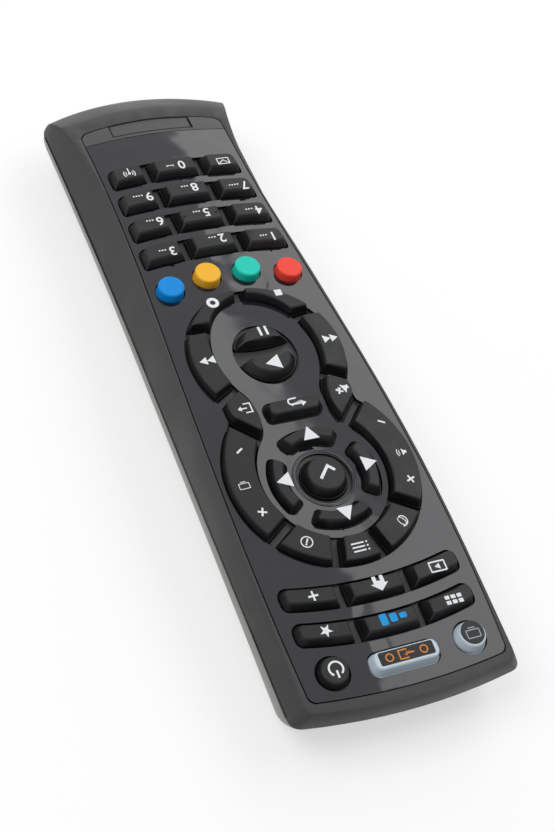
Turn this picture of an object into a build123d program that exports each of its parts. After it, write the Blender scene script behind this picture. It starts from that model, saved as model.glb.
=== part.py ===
"""A wide infrared remote control for a television receiver, as separate named pieces.

The frame: +Z up, the flat underside at Z = 0, +Y towards the infrared end, millimetres.
The origin is the middle of the footprint.  The face is a long crown, so the keys, the gloss plates
and the case top are all cut by the same surface, lowered or raised by a named amount.
"""

import math
import os
from functools import partial

from build123d import *

os.makedirs("parts", exist_ok=True)

# Overall form of the case
body_height = 24.0        # top of the crown above the rest plane
seam_z = 12.8             # parting line between the two case halves
near_y = 99.6             # infrared end, at the seam
far_y = -104.4            # battery end, at the seam
case_wall = 2.0
case_corner_near = 3.0
case_corner_far = 4.5
far_roll = 13.0           # radius that rolls the battery end down
far_bow_radius = 75.0     # bow of the battery end, seen from above
belly_bands = 9           # bands that make up the rolled underside
end_roll = 9.5            # draw-in of the flat underside at the two ends
near_setback = 1.6        # the lower case stands back under the infrared end
tub_corner_near = 6.0
groove_height, groove_depth = 0.5, 0.9    # shadow line below the seam

# The crown of the face
crown_y = 3.3             # where the crown is highest
crown_near_radius = 830.0
crown_far_radius = 1600.0
crown_side_radius = 650.0

# Gloss plates and the matt heel
heel_y = -84.0            # where the gloss plate ends and the matt heel starts
heel_bow_radius = 140.0
heel_gap = 0.2
heel_pocket_half, heel_pocket_depth = 12.2, 0.3
dish_depth = 0.4          # hollow of the centre plate
dish_radius = 320.0

# Layers below the face and the keys that stand in them
plate_thickness = 1.2
deck_thickness = 1.2
plate_gap = 0.3           # groove round each gloss plate
plate_seat = 0.06         # film of glue below the plates
key_clearance = 0.25      # key to its opening
foot_gap = 0.25           # key foot below the deck
rocker_foot_gap = 1.0     # the same on a rocker, whose far end rises when the near end is pressed
foot_lip = 0.6            # how far the foot reaches under the deck
key_travel = 0.8
key_stop_gap = 0.05
key_rise = 2.3            # key tops above the face
cap_draft = 23.0          # slope of the key walls above the plate
ring_draft = 12.0         # the same on the keys of the two rings
first_row_draft = 15.0
colour_draft = 3.0
cap_root = 0.35           # where the slope starts below the face
key_edge = 0.3            # broken edge round the key tops
cap_ledge = 0.15          # step where the cap leaves the shaft
cap_tail = 1.0            # how far the cap is rooted in the shaft
touch_dots = {"digit_5_key": (-4.6, 4.6)}
touch_dot_radius, touch_dot_height = 0.5, 0.25
sharpest_corner = 0.4

# Circuit board and keypad sheet
board_thickness = 1.2
board_z = 13.2            # underside of the board
sheet_thickness = 0.6
contact_radius = 1.9      # contact pill below a key
sheet_hole_radius = 2.4

# The cells and their compartment
cell_radius = 5.25
cell_length = 44.5
cell_nub_radius = 1.9
cell_nub = 1.0
cell_gap = 0.4            # between the two cells
cell_side_gap = 0.35
door_thickness = 1.4
cell_door_gap = 0.3
cell_roof_gap = 0.15
bay_wall = 1.2
bay_roof = 0.7
spring_room = 4.4
contact_plate = 0.4
bay_far_y = -89.5         # battery end of the compartment

# Battery door
door_half_width = 13.4
door_clearance = 0.2
door_near_y = -34.0
door_top_z = 5.0          # height of the door's turned-up end
door_tongue = 1.2
door_tongue_thickness = 0.6

door_tongue_spots = (-42.0, -62.0, -82.0)
door_tongue_length = 7.0
thumb_y, thumb_pitch, thumb_count = -42.0, 2.0, 5
thumb_width, thumb_depth = 15.0, 0.4

# Springs and contacts of the cells
cell_seat = 0.05
spring_wire = 0.3
spring_base = 3.9
spring_pitch = 1.25
spring_cone = 18.0
contact_width, contact_height = 9.0, 8.0

# Shelf and locating lip along the seam
lip_inside = 3.8          # draw-in of the lip's inner face from the seam outline
lip_width, lip_height, lip_gap = 0.8, 1.0, 0.2
shelf_width, shelf_depth = 1.2, 2.5
board_clearance = 0.3
sheet_inset = 4.4

# Screws that hold the case halves
screw_spots = [(22.0, 59.0), (-22.0, 59.0), (21.0, -17.0), (-21.0, -17.0)]
boss_radius = 3.3
screw_head_radius = 1.9
screw_head_height = 1.5
screw_shank_radius = 0.9
screw_length = 9.0
screw_well_radius = 2.2
screw_seat_z = 7.0
screw_pilot_gap = 0.1
screw_end_gap = 0.6
boss_step = 0.6            # upper bosses slimmer than the lower ones

# Infrared emitter
emitter_radius = 2.5
emitter_length = 8.0
emitter_z = 9.4
emitter_recess = 0.6
emitter_clearance = 0.2
emitter_leg, emitter_leg_pitch, emitter_leg_run = 0.5, 2.54, 2.0

# Components under the board: centre, then width, length, depth and corner radius
chip_spot, chip_size = (0.0, 52.0), (10.0, 12.0, 1.8, 0.4)
capacitor_spot, capacitor_size = (-13.0, 12.0), (5.0, 5.0, 8.0, 2.45)

# Levels and lines just clear of the whole case
below_all, past_end_y = -1.0, -120.0

board_top_z = board_z + board_thickness
sheet_top_z = board_top_z + sheet_thickness
foot_z = sheet_top_z + key_travel + key_stop_gap
pill_z = board_top_z + key_travel + key_stop_gap
cell_z = door_thickness + cell_door_gap + cell_radius
cell_x = cell_radius + cell_gap / 2
bay_half_width = cell_x + cell_radius + cell_side_gap
bay_roof_z = cell_z + cell_radius + cell_roof_gap
bay_length = cell_length + cell_nub + spring_room + 2 * contact_plate
bay_near_y = bay_far_y + bay_length


def crown_drop(radius, distance):
    """Fall of an arc of the given radius at a distance from its top."""
    return radius - math.sqrt(radius**2 - distance**2)


def face_z(y):
    """Height of the face on the centre line."""
    radius = crown_near_radius if y > crown_y else crown_far_radius
    return body_height - crown_drop(radius, y - crown_y)


def under_face(rise, side_radius=crown_side_radius):
    """Everything below the face surface raised by the given amount, dished if side_radius is negative."""
    reach, half_width, depth = 108.0, 45.0, 40.0
    crest = [(0, crown_y + reach * part / 2, face_z(crown_y + reach * part / 2)) for part in range(-2, 3)]
    with BuildPart() as stock:
        with BuildLine() as spine:
            ThreePointArc(*crest[:3])
            ThreePointArc(*crest[2:])
        with BuildSketch(Plane(spine.line @ 0, x_dir=(1, 0, 0), z_dir=spine.line % 0)):
            with BuildLine():
                side = math.copysign(crown_drop(abs(side_radius), half_width), side_radius) - rise
                brow = ThreePointArc((-half_width, side), (0, -rise), (half_width, side))
                Polyline(brow @ 1, (half_width, depth), (-half_width, depth), brow @ 0)
            make_face()
        sweep(path=spine.line)
    return stock.part


def closed_outline(z, side, near, far, near_radius, far_radius, inset=0.0):
    """A case outline at one level: two waisted sides, two bowed ends and four round corners."""
    right = [(x - inset, y) for x, y in side]
    right[0] = (right[0][0], right[0][1] + inset)
    right[-1] = (right[-1][0], right[-1][1] - inset)
    with BuildSketch(Plane.XY.offset(z)) as outline:
        with BuildLine():
            east = Spline(*right)
            north = ThreePointArc(east @ 1, (0, near - inset), (-right[-1][0], right[-1][1]))
            west = Spline(*[(-x, y) for x, y in reversed(right)])
            ThreePointArc(west @ 1, (0, far + inset), east @ 0)
        make_face()
        fillet(outline.vertices().sort_by(Axis.Y)[2:], near_radius)
        fillet(outline.vertices().sort_by(Axis.Y)[:2], far_radius)
    return outline.sketch


# Half outlines of the case, as (half width, Y), from the battery end to the infrared end
top_z = 24.5
top_side = [
    (26.0, -97.0), (20.6, -72.0), (22.6, -37.0), (25.5, 0.0), (27.4, 36.0), (27.4, 62.0), (24.8, 95.5)
]
top_near_y, top_far_y = 98.7, -102.4
seam_side = [(27.4, -99.4), (27.5, -60.0), (28.1, -20.0), (29.0, 12.0), (30.2, 60.0), (31.2, 96.6)]
side_rolls = [14.0, 13.0, 10.5, 9.8, 7.5, 6.5]    # draw-in of the underside at the same places
plate_side = [(21.4, -87.2), (21.3, -70.0), (22.6, -37.0), (25.2, 0.0), (27.2, 40.0), (26.7, 94.2)]
plate_near_y, plate_far_y = 96.3, -90.2
plate_corner_near, plate_corner_far = 2.2, 3.0


def case_top(inset=0.0):
    """Outline of the flared upper case, carried up above the crown."""
    return closed_outline(
        top_z, top_side, top_near_y, top_far_y, case_corner_near, case_corner_far, inset
    )


def case_seam(z, inset=0.0):
    """Outline of the case at the seam."""
    return closed_outline(z, seam_side, near_y, far_y, case_corner_near, case_corner_far, inset)


def tub_outline(z, wall, rolled):
    """Outline of the lower case, inside a wall; rolled runs from 0 at the seam to 1 underneath."""
    side = [(x - (roll - wall) * rolled, y) for (x, y), roll in zip(seam_side, side_rolls)]
    end = (end_roll - wall) * rolled
    side[0] = (side[0][0], side[0][1] + end)
    side[-1] = (side[-1][0], side[-1][1] - near_setback - end)
    return closed_outline(
        z, side, near_y - near_setback - end, far_y + end, tub_corner_near, case_corner_far, wall
    )


def plate_outline(z, inset=0.0):
    """Outline of the recess that holds the gloss plate and the heel."""
    return closed_outline(
        z, plate_side, plate_near_y, plate_far_y, plate_corner_near, plate_corner_far, inset
    )


def rounded(radius, inset):
    """Corner radius of an outline drawn in by a margin."""
    return max(radius - inset, sharpest_corner)


def corner_order(corner):
    """Puts the corners of an outline in the same order at every inset."""
    return round(corner.Y + corner.X / 10, 2)


def arc_quad(x_left, x_right, y_middle, height, bow_radius, corners, inset=0.0):
    """A key or slot on a bowed row: arcs above and below, straight ends, four round corners.

    corners holds the radii (lower left, lower right, upper right, upper left).  A positive
    bow_radius bows the row towards the infrared end.
    """
    def middle(x):
        return y_middle - math.copysign(crown_drop(abs(bow_radius), x), bow_radius)

    left, right, half = x_left + inset, x_right - inset, height / 2 - inset
    x_mid = (left + right) / 2
    spots = [
        (left, middle(left) - half),
        (right, middle(right) - half),
        (right, middle(right) + half),
        (left, middle(left) + half),
    ]
    with BuildSketch() as quad:
        with BuildLine():
            ThreePointArc(spots[0], (x_mid, middle(x_mid) - half), spots[1])
            Line(spots[1], spots[2])
            ThreePointArc(spots[2], (x_mid, middle(x_mid) + half), spots[3])
            Line(spots[3], spots[0])
        make_face()
        for spot, radius in zip(spots, corners):
            fillet(quad.vertices().sort_by_distance((*spot, 0))[0], rounded(radius, inset))
    return quad.sketch


def oval_point(oval, angle, margin=0.0):
    """Point on an oval (centre Y, half width, half length) at an angle from +Y towards +X."""
    centre, half_width, half_length = oval
    turn = math.radians(angle)
    return ((half_width + margin) * math.sin(turn), centre + (half_length + margin) * math.cos(turn))


def ring_piece(inner, outer, start, end, bridge, corner, inset=0.0):
    """A key on a ring between two ovals, from one angle to another, less half a bridge at each end."""
    def at(oval, angle, margin, side):
        x, y = oval_point(oval, angle, margin)
        turn, step = math.radians(angle), side * (bridge / 2 + inset)
        return (x + step * math.cos(turn), y - step * math.sin(turn))

    middle = (start + end) / 2
    with BuildSketch() as piece:
        with BuildLine():
            outside = ThreePointArc(
                at(outer, start, -inset, 1), oval_point(outer, middle, -inset), at(outer, end, -inset, -1)
            )
            inside = ThreePointArc(
                at(inner, end, inset, -1), oval_point(inner, middle, inset), at(inner, start, inset, 1)
            )
            Line(outside @ 1, inside @ 0)
            Line(inside @ 1, outside @ 0)
        make_face()
        fillet(piece.vertices().sort_by(corner_order), rounded(corner, inset))
    return piece.sketch


def waist_piece(inset=0.0):
    """The key on +X where the two rings meet."""
    step = ring_bridge / 2 + inset
    diagonal = step / math.sqrt(2)
    near_out = oval_point(near_outer, waist_near_turn, -inset)
    near_in = oval_point(near_inner, waist_near_turn, inset)
    far_out = oval_point(far_outer, waist_far_turn, -inset)
    far_in = oval_point(far_inner, waist_far_turn, inset)
    middle, side = sum(waist_y) / 2, waist_outer - inset
    with BuildSketch() as piece:
        with BuildLine():
            outer = ThreePointArc(
                (min(near_out[0] - diagonal, side - waist_edge), near_out[1] - diagonal),
                (side, middle),
                (min(far_out[0], side - waist_edge), far_out[1] + step),
            )
            inner = ThreePointArc(
                (far_in[0], far_in[1] + step),
                (waist_inner + inset, middle),
                (near_in[0] - diagonal, near_in[1] - diagonal),
            )
            Line(outer @ 1, inner @ 0)
            Line(inner @ 1, outer @ 0)
        make_face()
        fillet(piece.vertices().sort_by(corner_order), rounded(ring_corner, inset))
    return piece.sketch


def round_piece(x, y, radius, inset=0.0):
    """A round key or hole."""
    with BuildSketch() as disc:
        with Locations((x, y)):
            Circle(radius - inset)
    return disc.sketch


def oblong_piece(y, width, height, corner, inset=0.0):
    """An oblong with round corners on the centre line."""
    with BuildSketch() as oblong:
        with Locations((0, y)):
            RectangleRounded(width - 2 * inset, height - 2 * inset, rounded(corner, inset))
    return oblong.sketch


def lens_piece(y_side, y_upper, y_lower, half_width, corner, inset=0.0):
    """A lens between two arcs that meet at the sides."""
    half = half_width - 2 * inset
    with BuildSketch() as lens:
        with BuildLine():
            ThreePointArc((-half, y_side), (0, y_upper - inset), (half, y_side))
            ThreePointArc((half, y_side), (0, y_lower + inset), (-half, y_side))
        make_face()
        fillet(lens.vertices().sort_by(Axis.X), rounded(corner, inset))
    return lens.sketch


def mirrored(outline):
    """The same outline on the other side of the centre line."""
    return lambda inset=0.0: mirror(outline(inset=inset), about=Plane.YZ)


# Row of round and oblong keys at the infrared end
first_row_x, first_row_y, first_row_radius = 18.5, 88.5, 4.45
input_key_y, input_key_size = 89.4, (19.0, 6.6, 2.7)

# Two bowed rows of three keys
bowed_rows_y = [80.2, 70.8]
bowed_height = 6.6
bowed_radius = 100.0
bowed_half_width = 24.4
bowed_split = 8.8         # middle of the bridge beside the centre key
bowed_bridge = 1.6
bowed_end, bowed_joint = 2.4, 0.7

# Near ring round the direction pad and far ring round the play key: centre Y, half width, half length
near_outer = (37.3, 25.8, 26.9)
near_inner = (37.7, 16.6, 18.0)
far_outer = (-0.2, 21.5, 22.2)
far_inner = (-1.3, 13.8, 17.7)
waist_outer, waist_inner = 17.9, 9.5
waist_y = (8.0, 24.0)
waist_round_outer, waist_round_inner = 2.0, 9.0
waist_edge = 0.15         # bow of the waist key's outer edge
waist_near_turn, waist_far_turn = 135.0, 58.0
guide_turn, info_turn, record_turn = 15.0, 53.0, 121.0
ring_bridge = 1.7
ring_corner = 0.7

# Direction pad, centre key, back key and the play and pause pair
pad_y = 38.6
pad_inner, pad_outer, pad_half_angle = 9.5, 15.0, 37.0
pad_corner = 1.6
ok_radius = 6.3
ok_well_radius = 7.4
back_key_y, back_key_size = 17.4, (16.4, 6.6, 2.9)
pair_oval = (-0.9, 8.7, 9.7)
pair_half_width, pair_corner = 8.2, 0.8
play_arcs = (0.9, 8.0, 0.2)
pause_arcs = (-4.0, -2.9, -9.8)

# Coloured keys
colour_radius = 4.0
colour_spots = {
    "red": (-17.1, -26.3),
    "green": (-5.75, -28.8),
    "yellow": (5.75, -28.8),
    "blue": (17.1, -26.3),
}

# Number keys: four rows of three, bowed the other way and narrowing towards the battery end
number_first_y, number_pitch, number_height = -39.4, 9.85, 7.4
number_bow_radius = -167.0
number_half_width, number_narrowing = 21.2, 0.62
number_split = 7.8
number_bridge = 1.5
number_foot, number_head, number_joint = 3.2, 1.0, 0.6


def split_row(y, height, bow, half_width, split, bridge, lower, upper, joint):
    """Outlines of the three keys of a row, from -X to +X, and of the slot that they share."""
    inner, outer = split - bridge / 2, split + bridge / 2
    row = partial(arc_quad, y_middle=y, height=height, bow_radius=bow)
    left = partial(row, -half_width, -outer, corners=(lower, joint, joint, upper))
    centre = partial(row, -inner, inner, corners=(joint,) * 4)
    right = partial(row, outer, half_width, corners=(joint, lower, upper, joint))
    slot = partial(row, -half_width, half_width, corners=(lower, lower, upper, upper))
    return [left, centre, right], slot


def figure_eight(near_oval, far_oval, waist, rounding, inset=0.0):
    """Two joined ovals with a straight waist and rounded inner corners."""
    with BuildSketch() as eight:
        for centre, half_width, half_length in (near_oval, far_oval):
            with Locations((0, centre)):
                Ellipse(half_width - inset, half_length - inset)
        with Locations((0, sum(waist_y) / 2)):
            Rectangle(2 * (waist - inset), waist_y[1] - waist_y[0])
        fillet(eight.vertices(), rounding)
    return eight.sketch


keys = {}
slots = []
island_holes = []

keys["tv_key"] = partial(round_piece, -first_row_x, first_row_y, first_row_radius)
keys["power_key"] = partial(round_piece, first_row_x, first_row_y, first_row_radius)
keys["input_key"] = partial(oblong_piece, input_key_y, *input_key_size)
slots += [keys["tv_key"], keys["power_key"], keys["input_key"]]

bowed_names = [("apps_key", "service_key", "favourites_key"), ("media_key", "home_key", "plus_key")]
for names, y in zip(bowed_names, bowed_rows_y):
    outlines, slot = split_row(
        y, bowed_height, bowed_radius, bowed_half_width, bowed_split, bowed_bridge,
        bowed_end, bowed_end, bowed_joint,
    )
    keys.update(zip(names, outlines))
    slots.append(slot)

near_ring = partial(ring_piece, near_inner, near_outer, bridge=ring_bridge, corner=ring_corner)
far_ring = partial(ring_piece, far_inner, far_outer, bridge=ring_bridge, corner=ring_corner)
keys["guide_key"] = partial(near_ring, -guide_turn, guide_turn)
keys["info_key"] = partial(near_ring, guide_turn, info_turn)
keys["channel_rocker"] = partial(near_ring, info_turn, waist_near_turn)
keys["exit_key"] = waist_piece
keys["forward_key"] = partial(far_ring, waist_far_turn, record_turn)
keys["record_key"] = partial(far_ring, record_turn, 180)
opposite = {
    "info_key": "web_key",
    "channel_rocker": "volume_rocker",
    "exit_key": "mute_key",
    "forward_key": "rewind_key",
    "record_key": "stop_key",
}
for name, other in opposite.items():
    keys[other] = mirrored(keys[name])

pad_ovals = [(pad_y, radius, radius) for radius in (pad_inner, pad_outer)]
for name, turn in [("up_key", 0), ("right_key", 90), ("down_key", 180), ("left_key", 270)]:
    keys[name] = partial(
        ring_piece, *pad_ovals, turn - pad_half_angle, turn + pad_half_angle, bridge=0.0, corner=pad_corner
    )
    island_holes.append(keys[name])
keys["ok_key"] = partial(round_piece, 0, pad_y, ok_radius)
keys["back_key"] = partial(oblong_piece, back_key_y, *back_key_size)
keys["play_key"] = partial(lens_piece, *play_arcs, pair_half_width, pair_corner)
keys["pause_key"] = partial(lens_piece, *pause_arcs, pair_half_width, pair_corner)
ok_well = partial(round_piece, 0, pad_y, ok_well_radius)


def pair_well():
    """Oval opening of the play and pause pair."""
    with BuildSketch() as oval:
        with Locations((0, pair_oval[0])):
            Ellipse(pair_oval[1], pair_oval[2])
    return oval.sketch


island_holes += [ok_well, keys["back_key"], pair_well]

for colour, (x, y) in colour_spots.items():
    keys[colour + "_key"] = partial(round_piece, x, y, colour_radius)
    slots.append(keys[colour + "_key"])

number_names = [
    ("digit_1", "digit_2", "digit_3"),
    ("digit_4", "digit_5", "digit_6"),
    ("digit_7", "digit_8", "digit_9"),
    ("message", "digit_0", "radio"),
]
for index, names in enumerate(number_names):
    outlines, slot = split_row(
        number_first_y - index * number_pitch, number_height, number_bow_radius,
        number_half_width - index * number_narrowing, number_split, number_bridge,
        number_foot, number_head, number_joint,
    )
    keys.update({name + "_key": outline for name, outline in zip(names, outlines)})
    slots.append(slot)

ring_slot = partial(figure_eight, near_outer, far_outer, waist_outer, waist_round_outer)
island = partial(figure_eight, near_inner, far_inner, waist_inner, waist_round_inner)


def pill_spots(name):
    """Centres of the contact pills below a key: one, or one at each end of a rocker."""
    if name == "channel_rocker":
        middle = [(a + b) / 2 for a, b in zip(near_inner, near_outer)]
        return [oval_point(middle, 70), oval_point(middle, 117)]
    if name == "volume_rocker":
        return [(-x, y) for x, y in pill_spots("channel_rocker")]
    centre = keys[name]().face().center()
    return [(centre.X, centre.Y)]


below_face = under_face(0)
below_plate = under_face(-plate_thickness)
below_deck = under_face(-plate_thickness - deck_thickness)
above_all = body_height + 8

# Slope of the key walls above the plate, in degrees, where it isn't cap_draft
ring_keys = ["guide_key", *opposite, *opposite.values()]
drafts = {name: ring_draft for name in ring_keys}
drafts |= {colour + "_key": colour_draft for colour in colour_spots}
drafts |= {name: first_row_draft for name in ("tv_key", "input_key", "power_key")}


def tangent_plane(x, y, rise):
    """Plane that touches the face surface, raised by the given amount, at one spot."""
    slope = (y - crown_y) / (crown_near_radius if y > crown_y else crown_far_radius)
    lean = x / crown_side_radius
    height = face_z(y) - crown_drop(crown_side_radius, x)
    return Plane((x, y, height), x_dir=(1, 0, -lean), z_dir=(lean, slope, 1)).offset(rise)


def build_key(name, outline):
    """One silicone key: contact pill, foot under the deck, shaft through it and a tapered cap."""
    plan = outline()
    centre, box = plan.face().center(), plan.bounding_box()
    side_drop = crown_drop(crown_side_radius, max(-box.min.X, box.max.X))
    lowest = min(face_z(box.min.Y), face_z(box.max.Y)) - side_drop
    room = rocker_foot_gap if name.endswith("rocker") else foot_gap
    foot_top = lowest - plate_thickness - deck_thickness - room
    reach = (key_rise - key_edge + cap_root) * math.tan(math.radians(drafts.get(name, cap_draft)))
    levels = [
        (-cap_root - cap_tail, cap_ledge),
        (-cap_root, cap_ledge),
        (key_rise - key_edge, cap_ledge + reach),
        (key_rise, cap_ledge + reach + key_edge),
    ]
    with BuildPart() as key:
        for z, top, inset in (
            (pill_z, foot_z, None), (foot_z, foot_top, -foot_lip), (foot_z, lowest - cap_root, 0)
        ):
            with BuildSketch(Plane.XY.offset(z)):
                if inset is None:
                    with Locations(*pill_spots(name)):
                        Circle(contact_radius)
                else:
                    add(outline(inset=key_clearance + inset))
            extrude(amount=top - z)
        for rise, inset in levels:
            with BuildSketch(tangent_plane(centre.X, centre.Y, rise)):
                with Locations((-centre.X, -centre.Y)):
                    add(outline(inset=key_clearance + inset))
        loft(ruled=True)
        for x in touch_dots.get(name, ()):
            with Locations(tangent_plane(x, centre.Y, key_rise)):
                Cone(touch_dot_radius, touch_dot_radius / 2, 2 * touch_dot_height)
    key.part.label = name
    return key.part


def build_keys():
    """All keys; those on -X of the rings are mirror images of the ones on +X."""
    built = {}
    for name, outline in keys.items():
        if name not in opposite.values():
            built[name] = build_key(name, outline)
        if name in opposite:
            other = opposite[name]
            built[other] = mirror(built[name], about=Plane.YZ)
            built[other].label = other
    return built


def face_layer(outlines, holes, top, bottom):
    """A thin layer of the face between two of its surfaces."""
    with BuildPart() as layer:
        with BuildSketch(Plane.XY.offset(board_z)):
            for outline in outlines:
                add(outline)
            for hole in holes:
                add(hole, mode=Mode.SUBTRACT)
        extrude(amount=above_all - board_z)
        add(top, mode=Mode.INTERSECT)
        add(bottom, mode=Mode.SUBTRACT)
    return layer.part


def heel_region(margin):
    """Everything on the battery side of the line where the gloss plate ends."""
    with BuildSketch() as region:
        with BuildLine():
            reach = 40.0
            side = heel_y + crown_drop(heel_bow_radius, reach) + margin
            arc = ThreePointArc((-reach, side), (0, heel_y + margin), (reach, side))
            Polyline(arc @ 1, (reach, past_end_y), (-reach, past_end_y), arc @ 0)
        make_face()
    return region.sketch


def far_roll_cutter(inset=0.0):
    """What the rolled and bowed battery end takes off a block."""
    axis_y, sweep_angle = far_y + far_bow_radius, 80
    centre_z = face_z(far_y + far_roll) - far_roll
    centre_y = far_y + math.sqrt(far_roll**2 - (seam_z - centre_z)**2)
    profile_plane = Plane((0, axis_y, 0), x_dir=(0, 1, 0), z_dir=(1, 0, 0)).rotated((0, 0, sweep_angle / 2))
    with BuildPart() as cutter:
        with BuildSketch(profile_plane):
            with Locations((centre_y - axis_y, centre_z)):
                Rectangle(2 * far_roll, 2 * far_roll, align=(Align.MAX, Align.MIN))
                Circle(far_roll - inset, mode=Mode.SUBTRACT)
        revolve(axis=Axis((0, axis_y, 0), (0, 0, -1)), revolution_arc=sweep_angle)
    return cutter.part


def build_upper_case():
    """Flared upper shell: rim, recess for the gloss plates, key deck, skirt and screw bosses."""
    with BuildPart() as cavity:
        loft([case_seam(seam_z, case_wall), case_top(case_wall)], ruled=True)
        add(below_deck, mode=Mode.INTERSECT)
        add(far_roll_cutter(case_wall), mode=Mode.SUBTRACT)
    with BuildPart() as recess:
        with BuildSketch(Plane.XY.offset(board_z)):
            add(plate_outline(0))
        extrude(amount=above_all - board_z)
        add(below_plate, mode=Mode.SUBTRACT)
    with BuildPart() as bosses:
        with BuildSketch(Plane.XY.offset(seam_z)):
            with Locations(*screw_spots):
                Circle(boss_radius - boss_step)
        extrude(amount=above_all - seam_z)
        add(below_plate, mode=Mode.INTERSECT)
    with BuildPart() as case:
        loft([case_seam(seam_z), case_top()], ruled=True)
        add(below_face, mode=Mode.INTERSECT)
        add(far_roll_cutter(), mode=Mode.SUBTRACT)
        add(cavity.part, mode=Mode.SUBTRACT)
        add(recess.part, mode=Mode.SUBTRACT)
        with BuildSketch(Plane.XY.offset(board_z)):
            for outline in keys.values():
                add(outline())
        extrude(amount=above_all - board_z, mode=Mode.SUBTRACT)
        add(bosses.part)
        with BuildSketch(Plane.XY.offset(seam_z)):
            with Locations(*screw_spots):
                Circle(screw_shank_radius + screw_pilot_gap)
        extrude(amount=screw_length - (seam_z - screw_seat_z) + screw_end_gap, mode=Mode.SUBTRACT)
    case.part.label = "upper_case"
    return case.part


def rolled_tub(wall):
    """The lower case as a solid drawn in by a wall and rolled under along an elliptical quarter."""
    sections = []
    for band in range(belly_bands + 1):
        turn = math.radians(90 * band / belly_bands)
        level = seam_z - (seam_z - wall) * math.sin(turn)
        sections.append(tub_outline(level, wall, 1 - math.cos(turn)))
    with BuildPart() as tub:
        loft(sections, ruled=True)
    return tub.part


def block(x_half, y_from, y_to, z_from, z_to):
    """A plain block about the centre line."""
    with BuildPart() as cuboid:
        with Locations((0, (y_from + y_to) / 2, (z_from + z_to) / 2)):
            Box(2 * x_half, y_to - y_from, z_to - z_from)
    return cuboid.part


def seam_ring(outside, inside, z_from, z_to):
    """A band that follows the seam outline between two draw-ins."""
    with BuildPart() as band:
        with BuildSketch(Plane.XY.offset(z_from)):
            add(case_seam(z_from, outside))
            add(case_seam(z_from, inside), mode=Mode.SUBTRACT)
        extrude(amount=z_to - z_from)
    return band.part


tub_form = rolled_tub(0)
tub_cavity = rolled_tub(case_wall)


def build_lower_case():
    """Rolled tub with the cell bay, door rails, board shelf, screw bosses and emitter port."""
    with BuildPart() as bosses:
        with BuildSketch(Plane.XY.offset(case_wall / 2)):
            with Locations(*screw_spots):
                Circle(boss_radius)
        extrude(amount=seam_z - case_wall / 2)
        add(tub_form, mode=Mode.INTERSECT)
    bay_outside = bay_half_width + bay_wall
    with BuildPart() as case:
        add(tub_form)
        add(tub_cavity, mode=Mode.SUBTRACT)
        add(seam_ring(case_wall - 0.1, lip_inside + shelf_width, seam_z - shelf_depth, seam_z - lip_gap))
        add(seam_ring(lip_inside, lip_inside + shelf_width, seam_z - shelf_depth, board_z))
        add(seam_ring(lip_inside - lip_width, lip_inside, seam_z - shelf_depth, seam_z + lip_height))
        add(seam_ring(-1, groove_depth, seam_z - groove_height, seam_z), mode=Mode.SUBTRACT)
        bay_ends = (bay_far_y - bay_wall, bay_near_y + bay_wall)
        add(block(bay_outside, *bay_ends, case_wall / 2, bay_roof_z + bay_roof))
        add(bosses.part)
        with BuildSketch(Plane.XY.offset(seam_z)):
            with Locations(*screw_spots):
                Circle(boss_radius)
        extrude(amount=board_z - seam_z, mode=Mode.SUBTRACT)
        add(block(bay_half_width, bay_far_y, bay_near_y, below_all, bay_roof_z), mode=Mode.SUBTRACT)
        door_side = door_half_width + door_clearance
        door_front = door_near_y + door_clearance
        door_room = door_thickness + door_clearance
        add(block(door_side, past_end_y, door_front, below_all, door_room), mode=Mode.SUBTRACT)
        door_end_top = door_top_z + door_clearance
        add(block(door_side, past_end_y, bay_ends[0], below_all, door_end_top), mode=Mode.SUBTRACT)
        rail_z = door_thickness - door_tongue_thickness - door_clearance
        add(block(door_side + door_tongue, past_end_y, door_front, rail_z, door_room), mode=Mode.SUBTRACT)
        with BuildSketch(Plane.XY.offset(below_all)):
            with Locations(*screw_spots):
                Circle(screw_well_radius)
        extrude(amount=screw_seat_z - below_all, mode=Mode.SUBTRACT)
        with BuildSketch(Plane.XY.offset(screw_seat_z)):
            with Locations(*screw_spots):
                Circle(screw_shank_radius + screw_pilot_gap)
        extrude(amount=seam_z - screw_seat_z, mode=Mode.SUBTRACT)
        emitter_room = emitter_radius + emitter_clearance
        port_y = near_y - near_setback - case_wall
        leg_room_y = port_y - emitter_length - case_wall
        add(
            block(emitter_room, leg_room_y, port_y, emitter_z - emitter_room, board_z + board_thickness),
            mode=Mode.SUBTRACT,
        )
        with BuildSketch(Plane.XZ.offset(-near_y)):
            with Locations((0, emitter_z)):
                Circle(emitter_room)
        extrude(amount=near_y - port_y + case_wall, mode=Mode.SUBTRACT)
    case.part.label = "lower_case"
    return case.part


def build_battery_door():
    """Sliding door: a slice of the tub with its turned-up end, rail tongues and thumb grooves."""
    with BuildPart() as door:
        add(tub_form)
        add(block(door_half_width, past_end_y, door_near_y, below_all, door_top_z), mode=Mode.INTERSECT)
        add(tub_cavity, mode=Mode.SUBTRACT)
        inside = bay_far_y - bay_wall - door_clearance
        add(block(door_half_width, inside, door_near_y, door_thickness, door_top_z), mode=Mode.SUBTRACT)
        with BuildSketch(Plane.XY.offset(door_thickness - door_tongue_thickness)):
            for y in door_tongue_spots:
                with Locations((0, y)):
                    Rectangle(2 * (door_half_width + door_tongue - door_clearance), door_tongue_length)
        extrude(amount=door_tongue_thickness)
        with BuildSketch(Plane.XY):
            with Locations(*[(0, thumb_y - index * thumb_pitch) for index in range(thumb_count)]):
                SlotOverall(thumb_width, thumb_pitch / 2)
        extrude(amount=thumb_depth, mode=Mode.SUBTRACT)
    door.part.label = "battery_door"
    return door.part


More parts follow.
